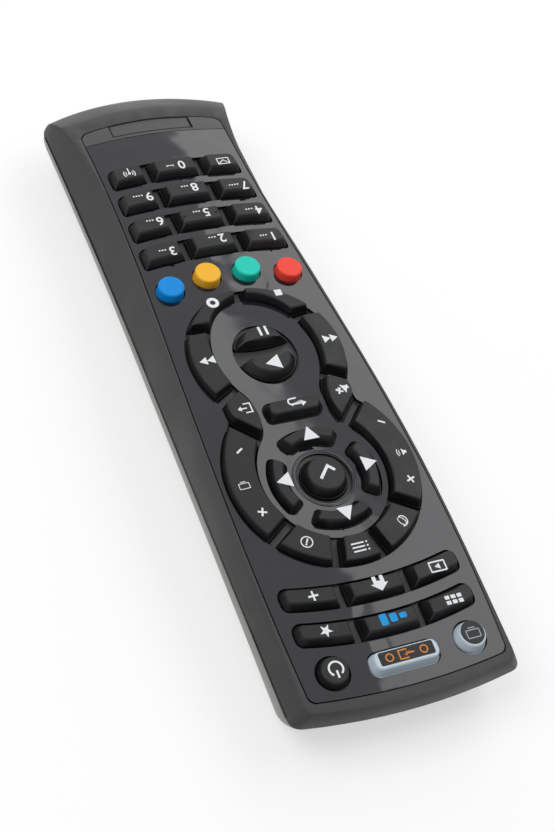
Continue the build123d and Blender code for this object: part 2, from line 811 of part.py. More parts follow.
def flat_sheet(name, z, thickness, inset, holes, hole_radius):
    """A flat sheet inside the case with round holes and clear of the screw bosses."""
    with BuildPart() as sheet:
        with BuildSketch(Plane.XY.offset(z)):
            add(case_seam(z, inset))
            with Locations(*screw_spots):
                Circle(boss_radius + board_clearance, mode=Mode.SUBTRACT)
            if holes:
                with Locations(*holes):
                    Circle(hole_radius, mode=Mode.SUBTRACT)
        extrude(amount=thickness)
    sheet.part.label = name
    return sheet.part


def build_cell(name, x, towards_near):
    """One dry cell with its raised positive end."""
    start = bay_far_y + contact_plate + (spring_room if towards_near else cell_nub)
    nub_from = start + cell_length if towards_near else start - cell_nub + cell_seat
    with BuildPart() as cell:
        with BuildSketch(Plane.XZ.offset(-start)):
            with Locations((x, cell_z)):
                Circle(cell_radius)
        extrude(amount=-cell_length)
        with BuildSketch(Plane.XZ.offset(-nub_from)):
            with Locations((x, cell_z)):
                Circle(cell_nub_radius)
        extrude(amount=-(cell_nub - cell_seat))
    cell.part.label = name
    return cell.part


def build_springs():
    """Two conical springs, one at the flat end of each cell."""
    margin = spring_wire + cell_seat
    seats = [(cell_x, bay_far_y + contact_plate, 1), (-cell_x, bay_near_y - contact_plate, -1)]
    with BuildPart() as pair:
        for x, y, way in seats:
            with BuildLine() as wire:
                Helix(
                    pitch=spring_pitch, height=spring_room - 2 * margin, radius=spring_base,
                    center=(x, y + way * margin, cell_z), direction=(0, way, 0), cone_angle=-spring_cone,
                )
            with BuildSketch(Plane(wire.line @ 0, z_dir=wire.line % 0)):
                RegularPolygon(spring_wire, 6)
            sweep(path=wire.line, is_frenet=True)
    pair.part.label = "battery_springs"
    return pair.part


def build_contacts():
    """Four contact plates, one at each end of each cell."""
    with BuildPart() as plates:
        for y in (bay_far_y + contact_plate / 2, bay_near_y - contact_plate / 2):
            with Locations((cell_x, y, cell_z), (-cell_x, y, cell_z)):
                Box(contact_width, contact_plate, contact_height)
    plates.part.label = "battery_contacts"
    return plates.part


def build_screws():
    """Four pan-head screws seated in the wells of the lower case."""
    with BuildPart() as screws:
        with BuildSketch(Plane.XY.offset(screw_seat_z - screw_head_height)):
            with Locations(*screw_spots):
                Circle(screw_head_radius)
        extrude(amount=screw_head_height)
        with BuildSketch(Plane.XY.offset(screw_seat_z)):
            with Locations(*screw_spots):
                Circle(screw_shank_radius)
        extrude(amount=screw_length)
    screws.part.label = "case_screws"
    return screws.part


def build_emitter():
    """Domed infrared emitter lying on its side, with two legs bent up to the board."""
    front = near_y - near_setback - emitter_recess - emitter_radius
    rear = front + emitter_radius - emitter_length
    with BuildPart() as emitter:
        with BuildSketch(Plane.XZ.offset(-rear)):
            with Locations((0, emitter_z)):
                Circle(emitter_radius)
        extrude(amount=-(front - rear))
        with Locations((0, front, emitter_z)):
            Sphere(emitter_radius)
        for x in (-emitter_leg_pitch / 2, emitter_leg_pitch / 2):
            with Locations((x, rear - emitter_leg_run / 2, emitter_z)):
                Box(emitter_leg, emitter_leg_run + emitter_leg, emitter_leg)
            with Locations((x, rear - emitter_leg_run, (emitter_z + board_z) / 2)):
                Box(emitter_leg, emitter_leg, board_z - emitter_z)
    emitter.part.label = "ir_emitter"
    return emitter.part


def hang_below_board(name, spot, width, length, depth, corner):
    """A component soldered to the underside of the board."""
    with BuildPart() as component:
        with BuildSketch(Plane.XY.offset(board_z - depth)):
            with Locations(spot):
                RectangleRounded(width, length, corner)
        extrude(amount=depth)
    component.part.label = name
    return component.part


pills = [spot for name in keys for spot in pill_spots(name)]
plate_slots = [slot() for slot in slots] + [ring_slot()]
plate_slots.append(heel_region(heel_gap / 2))
plate_bed = under_face(plate_seat - plate_thickness)
face_plate = face_layer([plate_outline(0, plate_gap)], plate_slots, below_face, plate_bed)
face_plate.label = "face_plate"
dished_face = under_face(-dish_depth, -dish_radius)
centre_plate = face_layer([island()], [hole() for hole in island_holes], dished_face, plate_bed)
centre_plate.label = "centre_plate"
with BuildPart() as heel_pocket:
    add(block(heel_pocket_half, far_y, heel_y - heel_gap, board_z, above_all))
    add(under_face(-heel_pocket_depth), mode=Mode.SUBTRACT)
with BuildPart() as heel:
    with BuildSketch(Plane.XY.offset(board_z)):
        add(plate_outline(0, plate_gap))
        add(heel_region(-heel_gap / 2), mode=Mode.INTERSECT)
    extrude(amount=above_all - board_z)
    add(below_face, mode=Mode.INTERSECT)
    add(plate_bed, mode=Mode.SUBTRACT)
    add(heel_pocket.part, mode=Mode.SUBTRACT)
heel.part.label = "heel_plate"

pieces = list(build_keys().values()) + [
    build_upper_case(),
    face_plate,
    centre_plate,
    heel.part,
    build_lower_case(),
    build_battery_door(),
    flat_sheet("keypad_sheet", board_top_z, sheet_thickness, sheet_inset, pills, sheet_hole_radius),
    flat_sheet("circuit_board", board_z, board_thickness, lip_inside + board_clearance, [], 0),
    build_cell("cell_1", cell_x, True),
    build_cell("cell_2", -cell_x, False),
    build_springs(),
    build_contacts(),
    build_screws(),
    build_emitter(),
    hang_below_board("controller_chip", chip_spot, *chip_size),
    hang_below_board("smoothing_capacitor", capacitor_spot, *capacitor_size),
]
to_origin = Location((0, -(near_y + far_y) / 2, 0))
for piece in pieces:
    export_step(piece.moved(to_origin), f"parts/{piece.label}.step")
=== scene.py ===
"""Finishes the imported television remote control: case, gloss plates, rubber keys, printed marks and stage."""

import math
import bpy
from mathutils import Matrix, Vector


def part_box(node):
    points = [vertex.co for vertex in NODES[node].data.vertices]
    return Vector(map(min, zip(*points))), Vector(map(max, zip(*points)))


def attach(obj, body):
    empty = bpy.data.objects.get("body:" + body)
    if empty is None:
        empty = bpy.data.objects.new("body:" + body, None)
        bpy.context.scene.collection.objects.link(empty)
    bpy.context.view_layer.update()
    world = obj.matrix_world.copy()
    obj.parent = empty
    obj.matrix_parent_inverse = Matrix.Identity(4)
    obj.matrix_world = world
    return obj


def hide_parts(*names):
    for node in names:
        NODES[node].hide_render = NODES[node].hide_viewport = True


bl_info = {
    "name": "Television Remote Control",
    "version": (1, 0, 0),
    "blender": (4, 5, 0),
    "location": "3D View > Sidebar > Remote",
    "description": "Gives a packed remote control its plastics, rubber keys, printed symbols and studio",
    "category": "Object",
}

import bmesh
import bpy
from bpy.props import FloatProperty, FloatVectorProperty, PointerProperty
from mathutils import Matrix, Vector
from mathutils.bvhtree import BVHTree

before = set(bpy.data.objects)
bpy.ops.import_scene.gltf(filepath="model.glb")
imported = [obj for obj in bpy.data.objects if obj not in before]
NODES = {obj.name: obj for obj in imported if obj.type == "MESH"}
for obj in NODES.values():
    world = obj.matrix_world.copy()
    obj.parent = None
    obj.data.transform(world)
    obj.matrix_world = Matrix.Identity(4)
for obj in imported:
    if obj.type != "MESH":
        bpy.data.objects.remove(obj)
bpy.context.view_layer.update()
MM = 0.001
# The CAD's facets are welded below this distance and rounded where they meet at more than this angle.
WELD_DISTANCE = 0.01 * MM
HARD_EDGE = math.radians(28)
# The share of a text's size that a figure's height takes, and what its strokes gain on each side.
FIGURE_SHARE = 0.72
FIGURE_BOLDNESS = 0.06 * MM
# Most of a noise texture's values lie between these two.
NOISE_RANGE = {"From Min": 0.3, "From Max": 0.7}


def srgb(hex_code):
    """An sRGB hex colour as the linear values that shaders work in."""
    values = [int(hex_code[i:i + 2], 16) / 255 for i in (1, 3, 5)]
    return [v / 12.92 if v <= 0.04045 else ((v + 0.055) / 1.055) ** 2.4 for v in values]


def colour_choice(name, hex_code, description):
    """A colour that the sidebar offers."""
    return FloatVectorProperty(
        name=name, description=description, default=srgb(hex_code), subtype="COLOR", min=0.0, max=1.0
    )


def size_choice(name, millimetres, description):
    """A length that the sidebar offers, in metres as Blender keeps it."""
    return FloatProperty(
        name=name, description=description, default=millimetres * MM, min=0.0, unit="LENGTH", precision=5
    )


class RemoteColours(bpy.types.PropertyGroup):
    """Colours of the plastics, rubbers, inks and metals."""

    upper_case: colour_choice("Upper case", "#3b3b3a", "ABS of the upper shell")
    lower_case: colour_choice("Lower case", "#8c8b87", "ABS of the tub and the battery door")
    gloss_plate: colour_choice("Gloss plate", "#16171f", "Polished plates round the keys")
    heel: colour_choice("Heel", "#333334", "Satin plate at the battery end")
    key_coat: colour_choice("Key coat", "#060709", "Coat on the black silicone keys")
    pale_rubber: colour_choice("Pale rubber", "#cbd9e4", "Silicone of the input and television keys")
    red: colour_choice("Red key", "#fc4c3e", "Silicone of the red key")
    green: colour_choice("Green key", "#1ed2bc", "Silicone of the green key")
    yellow: colour_choice("Yellow key", "#ffbc34", "Silicone of the yellow key")
    blue: colour_choice("Blue key", "#0490e4", "Silicone of the blue key")
    white_ink: colour_choice("White ink", "#f4f8fa", "Printed symbols")
    pale_ink: colour_choice("Pale ink", "#a9b5bc", "Symbol of the television key")
    blue_ink: colour_choice("Blue ink", "#149fe8", "Symbol of the service key")
    orange_ink: colour_choice("Orange ink", "#e08a3a", "Symbol of the input key")
    cell_film: colour_choice("Cell film", "#2f5d86", "Printed film round the cells")
    floor: colour_choice("Floor", "#bebebe", "Paper sweep under the remote")


class RemoteSizes(bpy.types.PropertyGroup):
    """Sizes of the finishing details."""

    key_round: size_choice("Key edge", 0.16, "Rounding of the key edges")
    case_round: size_choice("Case edge", 0.2, "Rounding of the case edges")
    door_round: size_choice("Door edge", 0.12, "Rounding of the battery door's edges")
    print_height: size_choice("Print height", 0.012, "Thickness of the printed ink")
    digit_height: size_choice("Digit height", 3.0, "Height of the figures on the number keys")
    bead_radius: size_choice("Bead radius", 8.0, "Radius of the bead round the centre key")
    bead_width: size_choice("Bead width", 0.65, "Width of the bead round the centre key")
    bead_height: size_choice("Bead height", 0.2, "Height of the bead above the plate")
    film: size_choice("Cell film thickness", 0.04, "Thickness of the printed film round the cells")


def sizes():
    """The sizes chosen in the sidebar."""
    return bpy.context.scene.remote_sizes


def colours():
    """The colours chosen in the sidebar."""
    return bpy.context.scene.remote_colours


def add_node(tree, kind, settings=None, links=None):
    """Adds a shader node, sets its properties and inputs, and links inputs to sockets or nodes' first outputs."""
    node = tree.nodes.new(kind)
    for key, value in (settings or {}).items():
        if isinstance(key, str) and hasattr(node, key) and key not in node.inputs:
            setattr(node, key, value)
        else:
            node.inputs[key].default_value = value
    for key, source in (links or {}).items():
        tree.links.new(source if isinstance(source, bpy.types.NodeSocket) else source.outputs[0], node.inputs[key])
    return node


def new_material(name):
    """A material with only its output, and its node tree and the object's own coordinates to build on."""
    material = bpy.data.materials.new(name)
    material.use_nodes = True
    tree = material.node_tree
    tree.nodes.clear()
    tree.nodes.new("ShaderNodeOutputMaterial")
    return material, tree, add_node(tree, "ShaderNodeTexCoord").outputs["Object"]


def finished(material, surface):
    """The material, with a shader joined to its output."""
    tree = material.node_tree
    tree.links.new(surface.outputs[0], tree.get_output_node("ALL").inputs["Surface"])
    return material


def shade(colour, factor=1.0):
    """A linear colour, lighter or darker by a factor, as the four values that a socket takes."""
    return (*(min(1.0, v * factor) for v in colour), 1.0)


def moulded_abs(name, colour, rough, grain_depth, level):
    """ABS moulded in a spark-eroded tool: a fine even grain that breaks up the shine."""
    material, tree, place = new_material(name)
    # The real grain is 0.1 to 0.2 mm, which is finer than a pixel here, so it is drawn at 0.35 mm to show.
    grain = add_node(tree, "ShaderNodeTexNoise", {"Scale": 1 / (0.35 * MM), "Detail": 3.0}, {"Vector": place})
    relief = add_node(tree, "ShaderNodeBump", {"Strength": 0.35, "Distance": grain_depth * MM}, {"Height": grain})
    # Handling leaves patches some 18 mm across that are a little shinier and darker than the rest.
    patch = add_node(tree, "ShaderNodeTexNoise", {"Scale": 1 / (18 * MM), "Detail": 2.0}, {"Vector": place})
    shine = add_node(
        tree, "ShaderNodeMapRange", {**NOISE_RANGE, "To Min": rough - 0.06, "To Max": rough + 0.06}, {"Value": patch}
    )
    tint = add_node(
        tree, "ShaderNodeMix", {"data_type": "RGBA", 6: shade(colour, 0.9), 7: shade(colour, 1.1)},
        {0: patch},
    ).outputs[2]
    surface = add_node(
        tree, "ShaderNodeBsdfPrincipled", {"IOR": 1.54, "Specular IOR Level": level},
        {"Base Color": tint, "Roughness": shine, "Normal": relief},
    )
    return finished(material, surface)


def polished_abs(name, colour, sink):
    """High-gloss ABS from a polished tool: a clear reflection that wanders where the plate isn't flat."""
    material, tree, place = new_material(name)
    # Sink marks and mould flow bend the surface over some 13 mm.
    flow = add_node(
        tree, "ShaderNodeTexNoise", {"Scale": 1 / (13 * MM), "Detail": 0.0, "Distortion": 1.0}, {"Vector": place}
    )
    relief = add_node(
        tree, "ShaderNodeBump", {"Strength": 0.5, "Distance": sink * MM}, {"Height": flow}
    )
    # Fine dust and wiping haze.
    haze = add_node(tree, "ShaderNodeTexNoise", {"Scale": 1 / (4 * MM), "Detail": 4.0}, {"Vector": place})
    shine = add_node(
        tree, "ShaderNodeMapRange", {"From Min": 0.35, "From Max": 0.75, "To Min": 0.03, "To Max": 0.09},
        {"Value": haze},
    )
    surface = add_node(
        tree, "ShaderNodeBsdfPrincipled", {"Base Color": shade(colour), "IOR": 1.56},
        {"Roughness": shine, "Normal": relief},
    )
    return finished(material, surface)


def coated_silicone(name, colour):
    """Moulded silicone rubber with a sprayed satin coat: soft shine, faint orange peel and lint."""
    material, tree, place = new_material(name)
    # Orange peel of the sprayed coat, about 0.5 mm across.
    peel = add_node(tree, "ShaderNodeTexNoise", {"Scale": 1 / (0.5 * MM), "Detail": 2.0}, {"Vector": place})
    relief = add_node(tree, "ShaderNodeBump", {"Strength": 0.3, "Distance": 0.012 * MM}, {"Height": peel})
    # Rubber holds dust: scattered pale specks of about 0.15 mm.
    specks = add_node(tree, "ShaderNodeTexVoronoi", {"Scale": 1 / (1.7 * MM)}, {"Vector": place})
    dust_and_painted_shade = add_node(
        tree, "ShaderNodeMapRange", {"From Min": 0.03, "From Max": 0.07, "To Min": 0.16, "To Max": 0.0},
        {"Value": specks},
    )
    tint = add_node(
        tree, "ShaderNodeMix", {"data_type": "RGBA", 6: shade(colour), 7: shade(srgb("#a0a0a0"))},
        {0: dust_and_painted_shade},
    ).outputs[2]
    # Fingers polish the coat unevenly.
    touch = add_node(tree, "ShaderNodeTexNoise", {"Scale": 1 / (5 * MM), "Detail": 2.0}, {"Vector": place})
    shine = add_node(tree, "ShaderNodeMapRange", {**NOISE_RANGE, "To Min": 0.4, "To Max": 0.52}, {"Value": touch})
    surface = add_node(
        tree, "ShaderNodeBsdfPrincipled", {"IOR": 1.45, "Specular IOR Level": 0.42},
        {"Base Color": tint, "Roughness": shine, "Normal": relief},
    )
    return finished(material, surface)


def pigmented_silicone(name, colour, rough):
    """Pigmented silicone, uncoated: the light sinks in a little and softens the edges."""
    material, tree, place = new_material(name)
    # The mould leaves a peel of about 0.6 mm.
    peel = add_node(tree, "ShaderNodeTexNoise", {"Scale": 1 / (0.6 * MM), "Detail": 2.0}, {"Vector": place})
    relief = add_node(tree, "ShaderNodeBump", {"Strength": 0.2, "Distance": 0.01 * MM}, {"Height": peel})
    # The pigment isn't stirred in quite evenly: cloudy patches of about 3 mm.
    cloud = add_node(tree, "ShaderNodeTexNoise", {"Scale": 1 / (3 * MM), "Detail": 1.0}, {"Vector": place})
    tint = add_node(
        tree, "ShaderNodeMix", {"data_type": "RGBA", 6: shade(colour, 0.94), 7: shade(colour, 1.06)}, {0: cloud}
    ).outputs[2]
    surface = add_node(
        tree, "ShaderNodeBsdfPrincipled",
        {"IOR": 1.42, "Roughness": rough, "Specular IOR Level": 0.3, "Subsurface Weight": 0.1,
         "Subsurface Radius": (0.6, 0.5, 0.4), "Subsurface Scale": 1 * MM},
        {"Base Color": tint, "Normal": relief},
    )
    return finished(material, surface)


def screen_ink(name, colour):
    """Screen-printed ink: flat, with tiny thin spots that let the key show."""
    material, tree, place = new_material(name)
    cover = add_node(tree, "ShaderNodeTexNoise", {"Scale": 1 / (0.4 * MM), "Detail": 3.0}, {"Vector": place})
    tint = add_node(
        tree, "ShaderNodeMix", {"data_type": "RGBA", 6: shade(colour, 0.86), 7: shade(colour)}, {0: cover}
    ).outputs[2]
    surface = add_node(
        tree, "ShaderNodeBsdfPrincipled", {"IOR": 1.48, "Roughness": 0.5, "Specular IOR Level": 0.3},
        {"Base Color": tint},
    )
    return finished(material, surface)


def plated_metal(name, dark, light, rough, stain_mm):
    """Plated or drawn metal: a soft mirror with drawing lines and a faint stain from handling."""
    material, tree, place = new_material(name)
    stain = add_node(tree, "ShaderNodeTexNoise", {"Scale": 1 / (stain_mm * MM), "Detail": 3.0}, {"Vector": place})
    tint = add_node(
        tree, "ShaderNodeMix", {"data_type": "RGBA", 6: shade(dark), 7: shade(light)}, {0: stain}
    ).outputs[2]
    shine = add_node(
        tree, "ShaderNodeMapRange", {**NOISE_RANGE, "To Min": rough - 0.06, "To Max": rough + 0.08}, {"Value": stain}
    )
    # Drawing lines are a few microns apart, so they are drawn at 0.15 mm, and stretched along the length.
    stretch = add_node(tree, "ShaderNodeMapping", {"Scale": (1.0, 0.08, 1.0)}, {"Vector": place})
    lines = add_node(tree, "ShaderNodeTexNoise", {"Scale": 1 / (0.15 * MM), "Detail": 2.0}, {"Vector": stretch})
    relief = add_node(tree, "ShaderNodeBump", {"Strength": 0.2, "Distance": 0.004 * MM}, {"Height": lines})
    surface = add_node(
        tree, "ShaderNodeBsdfPrincipled", {"Metallic": 1.0}, {"Base Color": tint, "Roughness": shine, "Normal": relief}
    )
    return finished(material, surface)


def solder_masked_board(name):
    """Glass-fibre board under green solder mask: copper tracks show lighter through the lacquer."""
    material, tree, place = new_material(name)
    # Square cells stand for runs of tracks some 2.5 mm apart, with a gap of 0.3 mm between the copper areas.
    cells = add_node(
        tree, "ShaderNodeTexVoronoi", {"feature": "DISTANCE_TO_EDGE", "Scale": 1 / (2.5 * MM), "Randomness": 0.7},
        {"Vector": place},
    )
    copper = add_node(tree, "ShaderNodeMapRange", {"From Min": 0.05, "From Max": 0.08}, {"Value": cells})
    tint = add_node(
        tree, "ShaderNodeMix", {"data_type": "RGBA", 6: shade(srgb("#123f22")), 7: shade(srgb("#23683a"))}, {0: copper}
    ).outputs[2]
    relief = add_node(tree, "ShaderNodeBump", {"Strength": 0.5, "Distance": 0.035 * MM}, {"Height": copper})
    surface = add_node(
        tree, "ShaderNodeBsdfPrincipled", {"IOR": 1.5, "Roughness": 0.25}, {"Base Color": tint, "Normal": relief}
    )
    return finished(material, surface)


def printed_film(name, colour):
    """Shrink film printed on its inside over a metallised layer: bright, with a fine sparkle and ripples."""
    material, tree, place = new_material(name)
    flake = add_node(tree, "ShaderNodeTexNoise", {"Scale": 1 / (0.25 * MM), "Detail": 2.0}, {"Vector": place})
    tint = add_node(
        tree, "ShaderNodeMix", {"data_type": "RGBA", 6: shade(colour, 0.75), 7: shade(colour, 1.25)}, {0: flake}
    ).outputs[2]
    # The film ripples over some 6 mm where it shrank.
    ripple = add_node(tree, "ShaderNodeTexNoise", {"Scale": 1 / (6 * MM), "Detail": 1.0}, {"Vector": place})
    relief = add_node(tree, "ShaderNodeBump", {"Strength": 0.4, "Distance": 0.05 * MM}, {"Height": ripple})
    surface = add_node(
        tree, "ShaderNodeBsdfPrincipled",
        {"Metallic": 0.5, "Roughness": 0.32, "Coat Weight": 0.6, "Coat Roughness": 0.08},
        {"Base Color": tint, "Normal": relief},
    )
    return finished(material, surface)


def cast_epoxy(name, colour, rough, coat):
    """Cast epoxy: nearly black, with a fine filler grain below a smooth skin."""
    material, tree, place = new_material(name)
    filler = add_node(tree, "ShaderNodeTexNoise", {"Scale": 1 / (0.3 * MM), "Detail": 3.0}, {"Vector": place})
    tint = add_node(
        tree, "ShaderNodeMix", {"data_type": "RGBA", 6: shade(colour, 0.8), 7: shade(colour, 1.2)}, {0: filler}
    ).outputs[2]
    relief = add_node(tree, "ShaderNodeBump", {"Strength": 0.2, "Distance": 0.01 * MM}, {"Height": filler})
    surface = add_node(
        tree, "ShaderNodeBsdfPrincipled",
        {"IOR": 1.55, "Roughness": rough, "Coat Weight": coat, "Coat Roughness": 0.04},
        {"Base Color": tint, "Normal": relief},
    )
    return finished(material, surface)


def dress(node, material):
    """Gives a CAD node one material in all its slots."""
    piece = NODES[node]
    piece.data.materials.clear()
    piece.data.materials.append(material)
    for polygon in piece.data.polygons:
        polygon.material_index = 0
    return piece


def soften(piece, width):
    """Welds the facets of a CAD node, rounds its hard edges and evens its shading."""
    weld = piece.modifiers.new("weld", "WELD")
    weld.merge_threshold = WELD_DISTANCE
    rounding = piece.modifiers.new("rounding", "BEVEL")
    rounding.width = width
    rounding.segments = 2
    rounding.limit_method = "ANGLE"
    rounding.angle_limit = HARD_EDGE
    rounding.harden_normals = True
    rounding.use_clamp_overlap = True


def add_piece(mesh, material, body, node):
    """Puts a finished mesh in the scene under its name, riding on a body; the CAD node that it is given is not used."""
    mesh.materials.clear()
    mesh.materials.append(material)
    piece = bpy.data.objects.new(mesh.name, mesh)
    bpy.context.scene.collection.objects.link(piece)
    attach(piece, body)
    return piece


def height_on(node):
    """A function that gives the height of a CAD node's upper surface at a place, or None beside the node."""
    mesh = NODES[node].data
    tree = BVHTree.FromPolygons([v.co for v in mesh.vertices], [p.vertices for p in mesh.polygons])
    above = 100 * MM

    def height(x, y):
        hit = tree.ray_cast(Vector((x, y, above)), Vector((0, 0, -1)))[0]
        return None if hit is None else hit.z

    return height


def mesh_of(build, name):
    """The mesh of a finished bmesh, which is freed."""
    mesh = bpy.data.meshes.new(name)
    build.to_mesh(mesh)
    build.free()
    return mesh


def turned_mesh(name, profile, place, steps=64, closed=True):
    """Turns a profile of radius and height pairs into a mesh; place(radius, height, angle) gives each point."""
    build = bmesh.new()
    rings = [
        [build.verts.new(place(radius, height, math.tau * i / steps)) for radius, height in profile]
        for i in range(steps)
    ]
    count = len(profile)
    for i in range(steps):
        here, after = rings[i], rings[(i + 1) % steps]
        for j in range(count if closed else count - 1):
            k = (j + 1) % count
            build.faces.new((here[j], here[k], after[k], after[j]))
    if not closed:
        for j in (0, count - 1):
            build.faces.new([ring[j] for ring in rings])
    bmesh.ops.recalc_face_normals(build, faces=build.faces)
    for face in build.faces:
        face.smooth = len(face.verts) == 4
    return mesh_of(build, name)


def swept_mesh(name, runs):
    """Joins the closed sections of each run into a bar with closed ends."""
    build = bmesh.new()
    for sections in runs:
        rings = [[build.verts.new(point) for point in section] for section in sections]
        for here, after in zip(rings, rings[1:]):
            for j in range(len(here)):
                k = (j + 1) % len(here)
                build.faces.new((here[j], here[k], after[k], after[j]))
        build.faces.new(rings[0])
        build.faces.new(rings[-1])
    bmesh.ops.recalc_face_normals(build, faces=build.faces)
    return mesh_of(build, name)


def closed_circle(x, y, radius, steps=40):
    """Points of a circle."""
    turns = [math.tau * i / steps for i in range(steps)]
    return [(x + radius * math.cos(t), y + radius * math.sin(t)) for t in turns]


def arc_points(x, y, radius, first, last, steps=24):
    """Points of an arc between two angles in degrees."""
    turns = [math.radians(first + (last - first) * i / steps) for i in range(steps + 1)]
    return [(x + radius * math.cos(t), y + radius * math.sin(t)) for t in turns]


# The cosine of half the turn at which a line's corner stops growing.
SHARPEST_MITRE = 0.3


def stroke(points, width):
    """Outline of a line of the given width along points, with mitred corners and square ends."""
    left, right = [], []
    for i, point in enumerate(points):
        here = Vector(point)
        before = (here - Vector(points[i - 1])).normalized() if i else None
        after = (Vector(points[i + 1]) - here).normalized() if i < len(points) - 1 else None
        along = ((before or after) + (after or before)).normalized()
        across = Vector((-along.y, along.x))
        edge = before or after
        reach = width / 2 / max(SHARPEST_MITRE, abs(across.dot(Vector((-edge.y, edge.x)))))
        left.append(tuple(here + across * reach))
        right.append(tuple(here - across * reach))
    return left + right[::-1]


def block_outline(x, y, width, height, corner=0.0):
    """A rectangle about a point, with round corners if asked."""
    if not corner:
        return [(x + sx * width / 2, y + sy * height / 2) for sx, sy in ((-1, -1), (1, -1), (1, 1), (-1, 1))]
    spots = []
    for sx, sy, first in ((1, 1, 0), (-1, 1, 90), (-1, -1, 180), (1, -1, 270)):
        spots += arc_points(x + sx * (width / 2 - corner), y + sy * (height / 2 - corner), corner, first, first + 90, 5)
    return spots


def frame_outline(x, y, width, height, line, corner):
    """A rectangular frame as an outer and an inner outline."""
    return [
        block_outline(x, y, width, height, corner),
        block_outline(x, y, width - 2 * line, height - 2 * line, max(corner - line, 0.05)),
    ]


def ring_outline(x, y, radius, line):
    """A circle drawn with a line of some width."""
    return [closed_circle(x, y, radius), closed_circle(x, y, radius - line)]


# A symbol is a list of closed outlines in millimetres about its own middle.
SCREEN = frame_outline(0, 0.25, 3.8, 2.3, 0.26, 0.25) + [block_outline(0, -1.35, 1.9, 0.26)]
SPEAKER = [[(-1.7, -0.55), (-0.9, -0.55), (0.1, -1.5), (0.1, 1.5), (-0.9, 0.55), (-1.7, 0.55)]]
MINUS = [block_outline(0, 0, 2.0, 0.5)]
# Points along the minus sign of a cell let it bend round the cell.
CELL_MINUS = [stroke([(-1.5 + 0.3 * i, 0) for i in range(11)], 0.7)]


def scaled(outlines, scale):
    """A symbol made smaller or larger about its middle."""
    return [[(x * scale, y * scale) for x, y in outline] for outline in outlines]


def plus_symbol(span, line):
    """Plus sign of a span and a line width."""
    a, b = span / 2, line / 2
    spots = [(-a, -b), (-b, -b), (-b, -a), (b, -a), (b, -b), (a, -b), (a, b), (b, b), (b, a), (-b, a), (-b, b), (-a, b)]
    return [spots]


def double_triangle(way):
    """Two triangles in a row."""
    return [[(way * x, -1.25), (way * (x + 2.1), 0), (way * x, 1.25)] for x in (-2.2, -0.1)]


def triangle(turn, size=2.3):
    """A triangle that points up, turned by some degrees."""
    spots = [(-0.95, -0.75), (0.95, -0.75), (0, 0.95)]
    c, s = math.cos(math.radians(turn)), math.sin(math.radians(turn))
    return [[(size * (x * c - y * s), size * (x * s + y * c)) for x, y in spots]]


def dots_symbol(count):
    """A row of small dots."""
    return [closed_circle(0.8 * i, 0, 0.26, 12) for i in range(count)]


